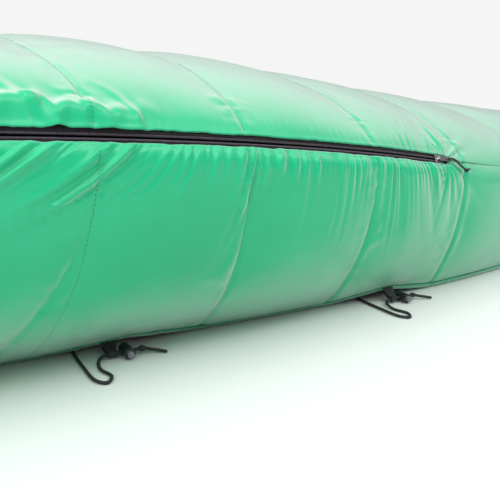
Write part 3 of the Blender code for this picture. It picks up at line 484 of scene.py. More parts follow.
def nylon(name, deep, mid, light, painted_sheen_colour, sheen, roughness):
    """Calendered taffeta over down: woven threads, faint crinkles, and a satin sheen, partly the shader's
    sheen and partly a painted sheen that turns the base colour paler where the cloth is seen edge-on.
    """
    n = Nodes(bpy.data.materials.new(name))
    blotch = n.noise(9.0, detail=3.0, roughness=0.6)
    colour = n.ramp(blotch, (0.25, deep), (0.5, mid), (0.75, light))
    facing = n.add("ShaderNodeLayerWeight", Blend=0.5).outputs["Facing"]
    # Painted sheen: this mask mixes the base colour towards a paler colour as the surface turns edge-on, in
    # place of reflected light off the weave.
    painted_sheen_mask = n.add("ShaderNodeMapRange", {"interpolation_type": "SMOOTHSTEP"}, Value=facing, From_Min=0.36,
                  From_Max=1.0).outputs["Result"]
    slanted = n.add("ShaderNodeMapping", {"vector_type": "TEXTURE"}, Scale=(2.6, 1.0, 0.8),
                    Vector=n.add("ShaderNodeTexCoord").outputs["Object"], Rotation=(0.0, -0.8, 0.0))
    crinkle = n.noise(120.0, vector=slanted.outputs["Vector"])
    thread = n.math("ADD", n.wave(420.0, n.place()), n.wave(420.0, n.place(), "DIAGONAL"))
    normal = n.bump(n.noise(26.0), 0.0022, 0.55)
    normal = n.bump(crinkle, 0.0006, 0.35, normal)
    normal = n.bump(thread, 0.000022, 0.6, normal)
    return n.finish(Base_Color=n.mix(painted_sheen_mask, colour, painted_sheen_colour), Roughness=roughness, Normal=normal,
                    Sheen_Weight=sheen, Sheen_Roughness=0.20, Specular_IOR_Level=0.34, Coat_Weight=0.12,
                    Coat_Roughness=0.20)


def webbing(name, dark, light, rib_scale, depth):
    """Woven tape: ribs across it, with fuzz."""
    n = Nodes(bpy.data.materials.new(name))
    ribs = n.wave(rib_scale, n.place())
    fuzz = n.noise(900.0)
    colour = n.ramp(n.math("MULTIPLY", ribs, fuzz), (0.15, dark), (0.7, light))
    normal = n.bump(ribs, depth, 0.9)
    normal = n.bump(fuzz, 0.0001, 0.5, normal)
    return n.finish(Base_Color=colour, Roughness=n.span(fuzz, 0.55, 0.8), Normal=normal, Sheen_Weight=0.08,
                    Sheen_Roughness=0.5)


def cord_cover(name, dark, light):
    """Braided cover with a flecked thread pattern."""
    n = Nodes(bpy.data.materials.new(name))
    a = n.wave(260.0, n.place(rotation=(0.4, 0.5, 0.8)), distortion=1.0)
    b = n.wave(260.0, n.place(rotation=(-0.6, 0.3, -0.8)), "Y", distortion=1.0)
    weave = n.math("MULTIPLY", a, b)
    colour = n.ramp(weave, (0.1, dark), (0.8, light))
    return n.finish(Base_Color=colour, Roughness=n.span(n.noise(500.0), 0.5, 0.75),
                    Normal=n.bump(weave, 0.00025, 0.9), Sheen_Weight=0.05, Sheen_Roughness=0.5)


def plastic(name, dark, light, roughness):
    n = Nodes(bpy.data.materials.new(name))
    scuffs = n.noise(220.0, detail=4.0, roughness=0.7)
    return n.finish(Base_Color=n.ramp(scuffs, (0.35, dark), (0.75, light)),
                    Roughness=n.span(scuffs, roughness - 0.06, roughness + 0.1),
                    Normal=n.bump(n.noise(1400.0), 0.00008, 0.6), Specular_IOR_Level=0.5)


def metal(name, dark, light, roughness):
    """Satin die-cast metal, a little rubbed."""
    n = Nodes(bpy.data.materials.new(name))
    rub = n.noise(300.0, detail=4.0, roughness=0.65)
    brush = n.noise(160.0, vector=n.place(scale=(1.0, 8.0, 8.0)))
    return n.finish(Base_Color=n.ramp(rub, (0.3, dark), (0.75, light)), Metallic=1.0,
                    Roughness=n.span(brush, roughness - 0.06, roughness + 0.1),
                    Normal=n.bump(brush, 0.00005, 0.5))


def make_materials():
    mint = ((0.010, 0.430, 0.195), (0.014, 0.475, 0.220), (0.022, 0.520, 0.250))
    charcoal = ((0.020, 0.024, 0.028), (0.026, 0.030, 0.036), (0.034, 0.039, 0.046))
    return {
        # The paler colours given for grazing angles are painted sheen, standing in for reflected light.
        "shell": nylon("shell_nylon", *mint, painted_sheen_colour=(0.50, 0.66, 0.58), sheen=0.06, roughness=0.28),
        "lining": nylon("lining_nylon", *charcoal, painted_sheen_colour=(0.07, 0.075, 0.085), sheen=0.30,
                        roughness=0.48),
        "thread": webbing("thread_green", (0.02, 0.26, 0.15), (0.05, 0.42, 0.26), 700.0, 0.0001),
        "tape": webbing("zip_tape", (0.006, 0.006, 0.008), (0.028, 0.026, 0.031), 330.0, 0.0002),
        "coil": plastic("zip_coil", (0.075, 0.060, 0.078), (0.120, 0.100, 0.125), 0.34),
        "metal": metal("zip_metal", (0.20, 0.20, 0.22), (0.36, 0.36, 0.38), 0.26),
        "steel": metal("spring_steel", (0.50, 0.50, 0.52), (0.66, 0.66, 0.68), 0.22),
        "webbing": webbing("webbing_black", (0.008, 0.008, 0.010), (0.040, 0.040, 0.046), 210.0, 0.0004),
        "elastic": cord_cover("elastic_black", (0.006, 0.006, 0.007), (0.036, 0.036, 0.042)),
        "thin_cord": cord_cover("thin_cord_black", (0.005, 0.005, 0.006), (0.030, 0.030, 0.036)),
        "lock": plastic("lock_plastic_black", (0.012, 0.012, 0.014), (0.030, 0.030, 0.033), 0.36),
        "plunger": plastic("plunger_plastic_grey", (0.16, 0.165, 0.175), (0.25, 0.255, 0.265), 0.38),
    }


# ---------------------------------------------------------------- panels of shell and lining

FINE_FROM, FINE_TO = -0.03, 0.62
FINE_ROWS, WIDE_ROWS = 0.0014, 0.0040
FINE_COLUMNS, WIDE_COLUMNS, FINE_WIDTH = 0.0024, 0.0070, 0.075
SIDE_WIDTH, TOP_WIDTH = 0.31, 0.86
SEAM_LEAN, LEAN_AT_ZIP = 0.070, 0.36
CHAMBER_SWELL, ROLL = 0.0048, 0.0036


def lengthwise_stations():
    """Close together where the shell is seen from near, wider apart elsewhere."""
    head = np.arange(HEAD_X + 0.0015, FINE_FROM, WIDE_ROWS)
    near = np.arange(FINE_FROM, FINE_TO, FINE_ROWS)
    foot = np.arange(FINE_TO, ARCH_FOOT_X - 0.001, WIDE_ROWS)
    return np.concatenate([head, near, foot, [ARCH_FOOT_X - 0.0002]])


def shares_from_zip(length):
    """Shares of a panel's width from the zip, close together near it."""
    first = np.arange(0.0, FINE_WIDTH, FINE_COLUMNS)
    rest = np.linspace(FINE_WIDTH, length, max(2, round((length - FINE_WIDTH) / WIDE_COLUMNS)))
    return np.concatenate([first, rest]) / length


def seam_skew(x, from_zip, reach):
    """How far a cross seam slants at the hip, from nearer the foot at the zip to nearer the head below."""
    lean = SEAM_LEAN * (1.0 - ease(x, 0.10, 0.22)) * ease(x, -0.30, -0.02)
    return lean * (LEAN_AT_ZIP - reach * ease(from_zip, 0.0, 0.26))


def chamber_share(x, skew):
    """0 at a cross seam to 0.5 in the middle of a chamber."""
    along = ((x - skew - HEAD_X) / PITCH) % 1.0
    return np.minimum(along, 1.0 - along)


def folds(w, d, wavelength, reach, height, seed):
    """Puckers from a seam, each of its own size: w runs along the seam, and d away from it."""
    place = w / wavelength + 1.1 * noise1(w / (2.2 * wavelength), seed) + 500.0
    number = np.floor(place).astype(int) % 4096
    random = np.random.default_rng(seed + 1)
    tall, long = random.uniform(0.05, 1.0, 4096)[number], random.uniform(0.30, 1.20, 4096)[number]
    across = place - np.floor(place) - 0.5
    across = across + 0.14 * (1.0 - 4.0 * across ** 2)
    ridge = tall * np.cos(math.pi * np.clip(across, -0.5, 0.5)) ** 2 - 0.25
    return height * ridge * bell(d, reach * long) * (0.30 + 0.70 * (1.0 - np.exp(-d / 0.006)))


# Gathers under and above the zip: spacing along it, reach from it, height, seed.
SIDE_FOLDS = {"hip": (0.0170, 0.062, 0.0056, 11), "beyond": (0.0125, 0.048, 0.0042, 15),
              "fine": (0.0078, 0.038, 0.0019, 21), "knee": (0.0170, 0.075, 0.0034, 31),
              "edge": (0.0046, 0.012, 0.0010, 41)}
TOP_FOLDS = {"hip": (0.0180, 0.030, 0.0058, 51), "hip_fine": (0.0085, 0.017, 0.0026, 61),
             "beyond": (0.0120, 0.020, 0.0008, 71), "end": (0.0095, 0.040, 0.0024, 81)}
# How far a gather under the zip slants towards the head for each metre down, along the quilt.
SLANT_X = (-0.60, -0.40, -0.10, 0.05, 0.11, 0.15, 0.18, 0.30, 0.40, 0.48)
SLANT = (-1.2, 0.0, 1.4, 1.5, 1.1, 0.65, 0.28, 0.06, -0.10, -0.45)
SCALLOP_HEIGHT, SCALLOP_WIDTH = 0.0080, 0.0100
SCALLOP_CREST, SCALLOP_WANDER, SCALLOP_SPACING = 0.0150, 0.0060, 0.0095


def beside_zip(x):
    return 1.0 - ease(x, ZIP_FOOT_X - 0.012, ZIP_FOOT_X + 0.006)


def side_puckers(x, d):
    """Gathers under the zip: long and slanting at the hip, upright at the knee, fanned at its end."""
    w = x + np.interp(x, SLANT_X, SLANT) * d
    hip = 1.0 - ease(w, 0.15, 0.24)
    parts = {"hip": hip, "beyond": 1.0 - hip, "fine": 1.0, "knee": ease(w, 0.32, 0.42), "edge": 1.0}
    gathers = sum(folds(w, d, *SIDE_FOLDS[name]) * part for name, part in parts.items())
    return beside_zip(x) * gathers


def top_puckers(x, d):
    """Above the zip: scallops that hang over it at the hip, nearly smooth beyond, gathers at its foot end."""
    hip = (1.0 - ease(x, 0.085, 0.165)) * (0.40 + 0.60 * ease(x, -0.30, -0.02))
    end = ease(x, 0.40, 0.46)
    w = x + 0.55 * d * hip - 0.5 * d * end
    crest = SCALLOP_CREST + SCALLOP_WANDER * noise1(x / SCALLOP_SPACING, 55)
    scallop = SCALLOP_HEIGHT * hip * bell(d - crest, SCALLOP_WIDTH)
    parts = {"hip": hip, "hip_fine": hip, "beyond": 1.0 - hip, "end": end}
    gathers = sum(folds(w, d, *TOP_FOLDS[name]) * part for name, part in parts.items())
    return beside_zip(x) * (scallop + gathers)


def end_gathers(x, d, seed):
    """Creases that radiate from the zip's foot end."""
    ahead = x - (ZIP_FOOT_X + 0.002)
    r = np.hypot(ahead, d)
    turn = np.arctan2(d, ahead)
    crease = noise1(turn / 0.17 + 40.0, seed)
    crease = np.sign(crease) * abs(crease) ** 0.7
    past = ease(ahead, -0.020, 0.004)
    return 0.0024 * crease * np.exp(-(r / 0.052) ** 1.5) * (1.0 - bell(r, 0.010)) * past


def seam_puckers(along, to_seam, seed):
    """Short ripples on both sides of a cross seam."""
    fold = noise1(along / 0.0055, seed)
    return 0.0007 * fold * bell(to_seam, 0.010) * (1.0 - bell(to_seam, 0.0022))


class Panel:
    """A panel's grid: its outline, angles, places, distances from the zip, and shares of its chambers."""

    def __init__(self, side, x, u, zip_edge=ZIP_EDGE, closing=SHELL_CLOSING, hem_gap=SHELL_HEM_GAP):
        self.side, self.x, self.u = side, x, u
        self.section = section = Outline(x)
        offset = (zip_edge + (SEWN_EDGE - zip_edge) * ease(x, *closing))[:, None] / section.speed
        hem = BINDING_HEIGHT + hem_gap
        if side:
            start, end = section.seam_angle - offset, section.near_hem(hem + hem_lift(x)[:, None])
        else:
            start, end = section.seam_angle + offset, section.far_hem(hem)
        self.angle = start + (end - start) * u[None, :]
        self.base = section.point(self.angle)
        self.out = section.out(self.angle)
        steps = np.linalg.norm(np.diff(self.base, axis=1), axis=2)
        self.d = np.hstack([np.zeros((len(x), 1)), np.cumsum(steps, axis=1)])
        self.grid_x = x[:, None] + 0.0 * self.d
        self.share = chamber_share(self.grid_x, self.skew(self.grid_x, self.d))
        nearest = np.minimum(u, 1.0 - u) / (SIDE_EDGE_SHARE if side else TOP_EDGE_SHARE)
        self.full = np.sin(0.5 * math.pi * np.clip(nearest, 0.0, 1.0))[None, :]

    def skew(self, x, from_zip):
        return seam_skew(x, from_zip, SIDE_SKEW if self.side else TOP_SKEW)

    def loft(self):
        """Round swelling of each chamber, pinched at its cross seams."""
        round_form = 1.0 - (1.0 - 2.0 * self.share) ** 2.4
        roll = ROLL * (1.0 - np.exp(-self.d / 0.007)) * bell(self.d, 0.085)
        roll = roll * (1.0 - ease(self.grid_x, 0.43, 0.48)) * (1.0 if self.side else 0.3)
        dimples = 0.0010 * noise2(self.grid_x * 14.0, self.d * 14.0, 5) * np.minimum(1.0, self.d / 0.03)
        return CHAMBER_SWELL * round_form * self.full + roll + dimples

    def detail(self):
        """Puckers, creases and the seams' valleys, as a distance out of the quilt."""
        to_seam = self.share * PITCH
        from_hem = self.d[:, -1:] - self.d
        keep = np.minimum(1.0, from_hem / 0.02)
        detail = (side_puckers if self.side else top_puckers)(self.grid_x, self.d) * keep
        detail += end_gathers(self.grid_x, self.d, 91 if self.side else 95)
        detail += seam_puckers(self.d, to_seam, 7) * keep
        detail += 0.0007 * bell(self.d, 0.0016) * (1.0 - ease(self.grid_x, 0.47, ZIP_FOOT_X))
        past_end = 1.0 - ease(self.grid_x, ZIP_FOOT_X, ZIP_FOOT_X + 0.04)
        at_zip = 1.0 - bell(self.d, 0.004) * past_end
        detail -= 0.0012 * bell(to_seam, 0.0035) * at_zip
        hem_fold = noise1(self.grid_x / 0.016, 101) * bell(from_hem, 0.020)
        return detail + 0.0008 * hem_fold * (1.0 - bell(from_hem, 0.004))


def cubic_weights(wanted, known):
    """Rows that turn values at known places into smooth values at wanted ones."""
    weights = np.zeros((len(wanted), len(known)))
    i = np.clip(np.searchsorted(known, wanted, side="right") - 1, 0, len(known) - 2)
    t = np.clip((wanted - known[i]) / (known[i + 1] - known[i]), 0.0, 1.0)
    shape = ((-1, -0.5 * t + t ** 2 - 0.5 * t ** 3), (0, 1.0 - 2.5 * t ** 2 + 1.5 * t ** 3),
             (1, 0.5 * t + 2.0 * t ** 2 - 1.5 * t ** 3), (2, -0.5 * t ** 2 + 0.5 * t ** 3))
    rows = np.arange(len(wanted))
    for step, value in shape:
        np.add.at(weights, (rows, np.clip(i + step, 0, len(known) - 1)), value)
    return weights


SIM_STEP = 0.009
SIM_FRAMES = 14
SIM_CAP = 0.0035
SIM_SINK = 0.0012


def simulate(panel):
    """Blows the panel up as cloth sewn down at its seams and edges, and returns how far its points move."""
    x = np.arange(HEAD_X + 0.0015, ARCH_FOOT_X, SIM_STEP)
    width = panel.d[:, -1].max()
    u = np.linspace(0.0, 1.0, round(width / SIM_STEP) + 1)
    coarse = Panel(panel.side, x, u)
    start = coarse.base + coarse.out * coarse.loft()[..., None]
    mesh = grid_mesh("cloth_trial", start, flipped=not panel.side)
    trial = link(bpy.data.objects.new("cloth_trial", mesh))
    pinned = coarse.share * PITCH < 0.6 * SIM_STEP
    pinned[:, [0, -1]] = True
    pinned[[0, -1], :] = True
    group = trial.vertex_groups.new(name="sewn")
    group.add(np.flatnonzero(pinned.ravel()).tolist(), 1.0, "REPLACE")
    cloth = trial.modifiers.new("Cloth", "CLOTH")
    settings = cloth.settings
    settings.vertex_group_mass = "sewn"
    settings.quality = 5
    settings.mass = 0.15
    settings.tension_stiffness = settings.compression_stiffness = 12.0
    settings.shear_stiffness = 6.0
    settings.bending_stiffness = 0.08
    settings.shrink_min = -0.006
    settings.use_pressure = True
    settings.uniform_pressure_force = 3.5
    settings.effector_weights.gravity = 0.0
    cloth.collision_settings.use_collision = False
    cloth.point_cache.frame_end = SIM_FRAMES
    for number in range(1, SIM_FRAMES + 1):
        scene.frame_set(number)
    shaped = trial.evaluated_get(bpy.context.evaluated_depsgraph_get())
    points = np.zeros(len(mesh.vertices) * 3, np.float32)
    shaped.data.vertices.foreach_get("co", points)
    moved = points.reshape(start.shape).astype(float) - start
    size = np.linalg.norm(moved, axis=2, keepdims=True) + 1e-9
    moved *= SIM_CAP * np.tanh(size / SIM_CAP) / size
    risen = np.einsum("ijk,ijk->ij", moved, coarse.out)
    moved += coarse.out * np.maximum(0.0, -SIM_SINK - risen)[..., None]
    scene.frame_set(1)
    bpy.data.objects.remove(trial)
    spread = np.einsum("ic,ckm,jk->ijm", cubic_weights(panel.x, x), moved, cubic_weights(panel.u, u))
    from_hem = panel.d[:, -1:] - panel.d
    hold = (1.0 - bell(panel.d, 0.022)) * (1.0 - bell(from_hem, 0.035))
    hold *= 1.0 - (0.55 if panel.side else 0.25) * ease(panel.d, 0.06, 0.16)
    return spread * hold[..., None]


# The folded edge of cloth beside the zip, rolled down onto its tape: steps towards the zip, and down.
LIP = ((0.0005, 0.0003), (0.0008, 0.0009), (0.0006, 0.0016), (-0.0002, 0.0025), (-0.0030, 0.0025))
LIP_REACH = 0.006
LIP_PLAY = 0.0001
SIDE_LIP_BACK = 0.0005


def lip_wave(panel):
    """Lets the cloth's edge wander a little across the zip's tape, clear of the slider."""
    wander = 0.0006 * noise1(panel.x / 0.013, 111 if panel.side else 112)
    wander += 0.0003 * noise1(panel.x / 0.005, 113 if panel.side else 114)
    wander = np.minimum(wander, LIP_PLAY) - SIDE_LIP_BACK if panel.side else np.maximum(wander, -LIP_PLAY)
    wander = wander * (1.0 - ease(panel.x, ZIP_FOOT_X - 0.020, ZIP_FOOT_X))
    return wander[:, None, None] * bell(panel.d, LIP_REACH)[..., None] * ZIP_UP


def build_shell_panel(side, x, replaces, material):
    panel = Panel(side, x, shares_from_zip(SIDE_WIDTH if side else TOP_WIDTH))
    lift = panel.out * (panel.loft() + panel.detail())[..., None]
    over_zip = lift @ ZIP_UP
    over_zip = np.maximum(over_zip, 0.0) if side else np.minimum(over_zip, 0.0)
    lift -= (over_zip * bell(panel.d, LIP_REACH))[..., None] * ZIP_UP
    panel.points = panel.base + lift + lip_wave(panel)
    panel.points += simulate(panel)
    towards = unit(panel.base[:, 0] - panel.base[:, 1]) * (1.0 - ease(x, *SHELL_CLOSING)[:, None])
    lip = [panel.points[:, 0] + towards * ahead - panel.out[:, 0] * down for ahead, down in LIP]
    points = np.concatenate([np.stack(lip[::-1], axis=1), panel.points], axis=1)
    name = "shell_side_panel" if side else "shell_top_panel"
    mesh = grid_mesh(name, points, flipped=side)
    obj = piece(name, mesh, material, replaces=replaces)
    return panel


def build_lining_panel(side, x, replaces, material):
    u = np.concatenate([[0.0, 0.008], np.linspace(0.02, 1.0, 44 if side else 110)])
    panel = Panel(side, x, u, LINING_ZIP_EDGE, LINING_CLOSING, hem_gap=0.0)
    round_form = 1.0 - (1.0 - 2.0 * panel.share) ** 2.2
    depth = EDGE_LOFT - SHEET + (LOFT - EDGE_LOFT) * panel.full * round_form
    depth = depth + 0.0012 * noise2(panel.grid_x * 30.0, panel.d * 30.0, 205) * panel.full
    to_seam = panel.share * PITCH
    ripple = noise1(panel.d / 0.008, 207) * bell(to_seam, 0.014) * np.minimum(1.0, to_seam / 0.004)
    depth += (0.0010 * ripple - 0.0022 * bell(to_seam, 0.004)) * panel.full
    points = panel.base + panel.section.inward(panel.angle) * depth[..., None]
    tape_back = panel.base[:, 0] - panel.out[:, 0] * (ZIP_DEPTH + 0.0012)
    points[:, 0] = tape_back
    points[:, 1] = tape_back - panel.out[:, 0] * 0.002 + (points[:, 1] - tape_back) * 0.25
    name = "lining_side_panel" if side else "lining_top_panel"
    mesh = grid_mesh(name, points, flipped=not side)
    obj = piece(name, mesh, material, replaces=replaces)


STITCH_LENGTH, STITCH_RADIUS, STITCH_PITCH = 0.0022, 0.00030, 0.0034
STITCH_FACES = ((0, 2, 1), (0, 3, 2), (0, 4, 3), (0, 1, 4), (1, 2, 6, 5), (2, 3, 7, 6), (3, 4, 8, 7),
                (4, 1, 5, 8), (9, 5, 6), (9, 6, 7), (9, 7, 8), (9, 8, 5))


def build_stitches(name, lines, material):
    """Small thread stitches lying along lines of (points, normals)."""
    blocks = []
    for points, normals in lines:
        along = lengths_along(points)
        at = np.arange(0.5 * STITCH_PITCH, along[-1], STITCH_PITCH)
        spot = read_along(at, along, points)
        ahead = unit(read_along(at + 0.3 * STITCH_PITCH, along, points) - spot)
        out = unit(read_along(at, along, normals))
        tip, body = ahead * 0.5 * STITCH_LENGTH, ahead * 0.26 * STITCH_LENGTH
        up, across = out * STITCH_RADIUS, np.cross(ahead, out) * STITCH_RADIUS
        spot = spot + 0.4 * up
        corners = [spot - tip - up]
        corners += [spot + shift + way for shift in (-body, body) for way in (up, across, -up, -across)]
        corners.append(spot + tip - up)
        blocks.append(np.stack(corners, axis=1).reshape(-1, 3))
    vertices = np.concatenate(blocks)
    faces = [tuple(first + v for v in face) for first in range(0, len(vertices), 10) for face in STITCH_FACES]
    mesh = bpy.data.meshes.new(name)
    mesh.from_pydata(vertices.tolist(), [], faces)
    mesh.shade_smooth()
    piece(name, mesh, material)


def grid_normals(points):
    """Normals of a grid, out of the side that its row and column directions turn about."""
    return unit(np.cross(np.gradient(points, axis=0), np.gradient(points, axis=1)))


def seam_lines(panel, sign):
    """Where each cross seam runs over a panel."""
    normals = sign * grid_normals(panel.points)
    lines = []
    for number in range(1, CHAMBERS):
        at = HEAD_X + number * PITCH
        shift = panel.skew(at + 0.0 * panel.d[0], panel.d[0])
        row = np.interp(at + shift, panel.x, np.arange(len(panel.x)))
        low = np.clip(np.floor(row).astype(int), 0, len(panel.x) - 2)
        part = (row - low)[:, None]
        columns = np.arange(len(panel.u))
        points = panel.points[low, columns] * (1.0 - part) + panel.points[low + 1, columns] * part
        lines.append((points[2:], normals[low, columns][2:]))
    return lines


# ---------------------------------------------------------------- foot end, footbox floor and bindings

def foot_ring(steps):
    """The quilt's closed outline at the foot: over the top from hem to hem, then back along the floor."""
    section = Outline([ARCH_FOOT_X])
    hem = float(section.hem_angle[0, 0])
    arch = section.point(np.linspace(-hem, math.pi + hem, steps)[None, :])[0]
    half = float(hem_half_width(ARCH_FOOT_X))
    floor = np.linspace(half, -half, steps // 4 + 2)[1:-1]
    along = np.stack([ARCH_FOOT_X + 0.0 * floor, floor, 0.0 * floor], axis=1)
    return np.concatenate([arch, along]), float(section.half_width[0, 0])


def dome_points(depth, rows, steps, crease):
    """Rings of the rounded foot end, sunk by depth below its outside, with gathers towards its middle."""
    ring, half_width = foot_ring(steps)
    half_height = 0.5 * float(apex_height(ARCH_FOOT_X))
    centre = np.array((0.0, 0.0, half_height))
    start_x = ARCH_FOOT_X + SHEET_GAP
    length = FOOT_X - start_x - depth
    spoke = ring * (0.0, 1.0, 1.0) - centre
    outward = unit(spoke / (1.0, half_width, half_height))
    around = lengths_along(ring)
    points = []
    for turn in np.linspace(0.0, DOME_END, rows):
        scale = math.cos(turn) ** DOME_FULLNESS
        spot = centre + spoke * scale - outward * depth * math.cos(turn)
        fade = ease(turn, 0.0, 0.10) * math.exp(-(turn / 0.75) ** 2)
        fold = folds(around, 0.02 * np.ones(len(around)), 0.021, 0.05, crease, 301)
        fold += folds(around + 0.03 * turn, 0.01 * np.ones(len(around)), 0.0095, 0.04, 0.5 * crease, 311)
        spot = spot + (fade * fold - 0.0006 * (turn < 0.01))[:, None] * outward
        x = np.full(len(ring), start_x + length * math.sin(turn))
        points.append(np.stack([x, spot[:, 1], np.maximum(spot[:, 2], 0.0)], axis=1))
    return np.array(points)


def cap_mesh(mesh, first, count, flipped):
    """Closes the last ring of a dome with a shallow fan."""
    work = bmesh.new()
    work.from_mesh(mesh)
    work.verts.ensure_lookup_table()
    ring = [work.verts[first + k] for k in range(count)]
    middle = sum((v.co for v in ring), Vector()) / count
    tip = work.verts.new(middle)
    for a, b in zip(ring, ring[1:] + ring[:1]):
        work.faces.new((a, b, tip) if flipped else (b, a, tip))
    work.to_mesh(mesh)
    work.free()
    mesh.shade_smooth()


def build_foot_end(materials):
    for name, depth, rows, steps, crease, flipped, look, swaps in (
            ("shell_foot_cap", 0.0, 40, 240, 0.0030, False, "shell", ["shell_foot_end", "down_foot_end"]),
            ("lining_foot_cap", 0.0342, 20, 120, 0.0012, True, "lining", ["lining_foot_end"])):
        points = dome_points(depth, rows, steps, crease)
        mesh = grid_mesh(name, points, flipped=flipped, wrap=True)
        cap_mesh(mesh, (rows - 1) * points.shape[1], points.shape[1], flipped)
        obj = piece(name, mesh, materials[look], replaces=swaps)


def build_footbox_floor(materials):
    """The quilted panel under the feet: flat below, a low pillow above."""
    x = np.linspace(FLOOR_PAD_X, ARCH_FOOT_X - 0.002, 76)
    v = np.linspace(-1.0, 1.0, 121)
    half = (hem_half_width(x) - FLOOR_PAD_INSET)[:, None]
    y = half * v[None, :]
    lengthwise = np.sin(math.pi * np.linspace(0.0, 1.0, len(x)))[:, None]
    share = lengthwise ** 0.6 * np.cos(0.5 * math.pi * v)[None, :] ** 0.6
    grid_x = x[:, None] + 0.0 * y
    edge = np.minimum((half - abs(y)), np.minimum(grid_x - x[0], x[-1] - grid_x))
    ripple = 0.0006 * noise2(grid_x / 0.011, y / 0.011, 401) * bell(edge, 0.03)
    under = np.stack([grid_x, y, 0.0008 + abs(ripple)], axis=-1)
    mesh = grid_mesh("shell_footbox_base", under, flipped=True)
    obj = piece("shell_footbox_base", mesh, materials["shell"],
                replaces=["shell_footbox_floor", "down_footbox_floor"])
    height = 0.0040 + FLOOR_PAD_LOFT * (0.12 + 0.88 * share) + 2.0 * ripple
    above = np.stack([grid_x, y, height], axis=-1)
    above[:, [0, -1], 2] = above[[0, -1], :, 2] = 0.0020
    mesh = grid_mesh("lining_footbox_base", above)
    obj = piece("lining_footbox_base", mesh, materials["lining"],
                replaces=["lining_footbox_floor"])


HEM_CORNER, NECK_CORNER = 0.0016, 0.0020
CORNERS = ((0.0, 0.0, 180.0), (0.0, 1.0, 90.0), (1.0, 1.0, 0.0), (1.0, 0.0, 270.0))


def tape_loop(outer_low, outer_high, inward, corner):
    """Points round a folded tape's section at each station, with rounded corners."""
    up = outer_high - outer_low
    height = np.linalg.norm(up, axis=1)[:, None]
    up = up / height
    loop = []
    quarter = np.radians((0.0, 30.0, 60.0, 90.0))
    for across, upward, base in CORNERS:
        middle_in = across * BINDING_WIDTH + (corner if across == 0.0 else -corner)
        middle_up = upward * height + (corner if upward == 0.0 else -corner)
        for turn in quarter[::-1]:
            angle = math.radians(base) + turn
            loop.append(outer_low + inward * (middle_in + corner * math.cos(angle))
                        + up * (middle_up + corner * math.sin(angle)))
    return np.stack(loop, axis=1)


def build_hem_bindings(materials):
    """Folded hems along both long edges; the near one is drawn up over the pad cords."""
    x = np.arange(HEAD_X + 0.002, ARCH_FOOT_X - 0.002, 0.003)
    section = Outline(x)
    lines = []
    for side, name in ((1.0, "near"), (-1.0, "far")):
        lift = (hem_lift(x) if side > 0 else 0.0 * x)[:, None]
        angle = section.near_hem if side > 0 else section.far_hem
        toe, top = section.point(angle(lift))[:, 0], section.point(angle(BINDING_HEIGHT + lift))[:, 0]
        out = section.out(angle(lift))[:, 0]
        pucker = 0.00035 * noise1(x / 0.0045, 501 if side > 0 else 502)[:, None]
        toe, top = toe + out * pucker, top + out * pucker
        inward = np.tile((0.0, side, 0.0), (len(x), 1))
        mesh = bar_mesh(f"hem_edge_{name}", tape_loop(toe, top, inward, HEM_CORNER))
        obj = piece(f"hem_edge_{name}", mesh, materials["shell"],
                    replaces=[f"hem_binding_{name}"])
        seam = section.point(angle(BINDING_HEIGHT - 0.0004 + lift))[:, 0] + out * (0.0004 + pucker)
        lines.append((seam, out))
    return lines


def build_neck_bindings(materials):
    """Folded tape round the neck's edge, below and above the zip."""
    section = Outline([HEAD_X])
    gap = 0.0105 / float(section.speed[0, 0])
    seam = float(section.seam_angle[0, 0])
    near = float(section.near_hem(BINDING_HEIGHT + 0.0005)[0, 0])
    far = float(section.far_hem(BINDING_HEIGHT + 0.0005)[0, 0])
    for name, start, end, steps in (("side", near, seam - gap, 70), ("top", seam + gap, far, 190)):
        angle = np.linspace(start, end, steps)[None, :]
        outer, inward = section.point(angle)[0], unit(section.inward(angle)[0])
        pucker = 0.0005 * noise1(np.arange(steps) * 0.75, 511)[:, None] * section.out(angle)[0]
        back = outer + pucker + np.array((-NECK_LENGTH, 0.0, 0.0))
        mesh = bar_mesh(f"neck_edge_{name}", tape_loop(back, outer + pucker, inward, NECK_CORNER))
        obj = piece(f"neck_edge_{name}", mesh, materials["shell"],
                    replaces=[f"neck_binding_{name}"])


# ---------------------------------------------------------------- zip, tabs and loops

def build_coils(materials):
    """Each coil is one monofilament wound in even turns along its tape."""
    turns_from, turns_to = ZIP_HEAD_X + 0.0012, ZIP_FOOT_X - 0.0022
    per_turn, wire = 9, 0.00034
    turns = int((turns_to - turns_from) / COIL_PITCH)
    phase = np.arange(turns * per_turn + 1) / per_turn
    x = turns_from + phase * COIL_PITCH
    middle = zip_line(x)
    tilt = zip_angle(x)[:, None]
    out = ZIP_OUT * np.cos(tilt) + np.array((1.0, 0.0, 0.0)) * np.sin(tilt)
    for side, sign in (("upper", 1.0), ("lower", -1.0)):
        turn = 2.0 * math.pi * (phase + (0.5 if sign < 0 else 0.0))
        across = sign * (COIL_MIDDLE - (COIL_REACH - wire) * np.cos(turn))
        off = (COIL_HALF_THICK - wire) * np.sin(turn)
        route = middle + ZIP_UP * across[:, None] + out * off[:, None]
        mesh = tube_mesh(f"coil_{side}", route, np.full(len(route), wire), sides=5)
        piece(f"coil_{side}", mesh, materials["coil"], replaces=[f"zip_coil_{side}"])


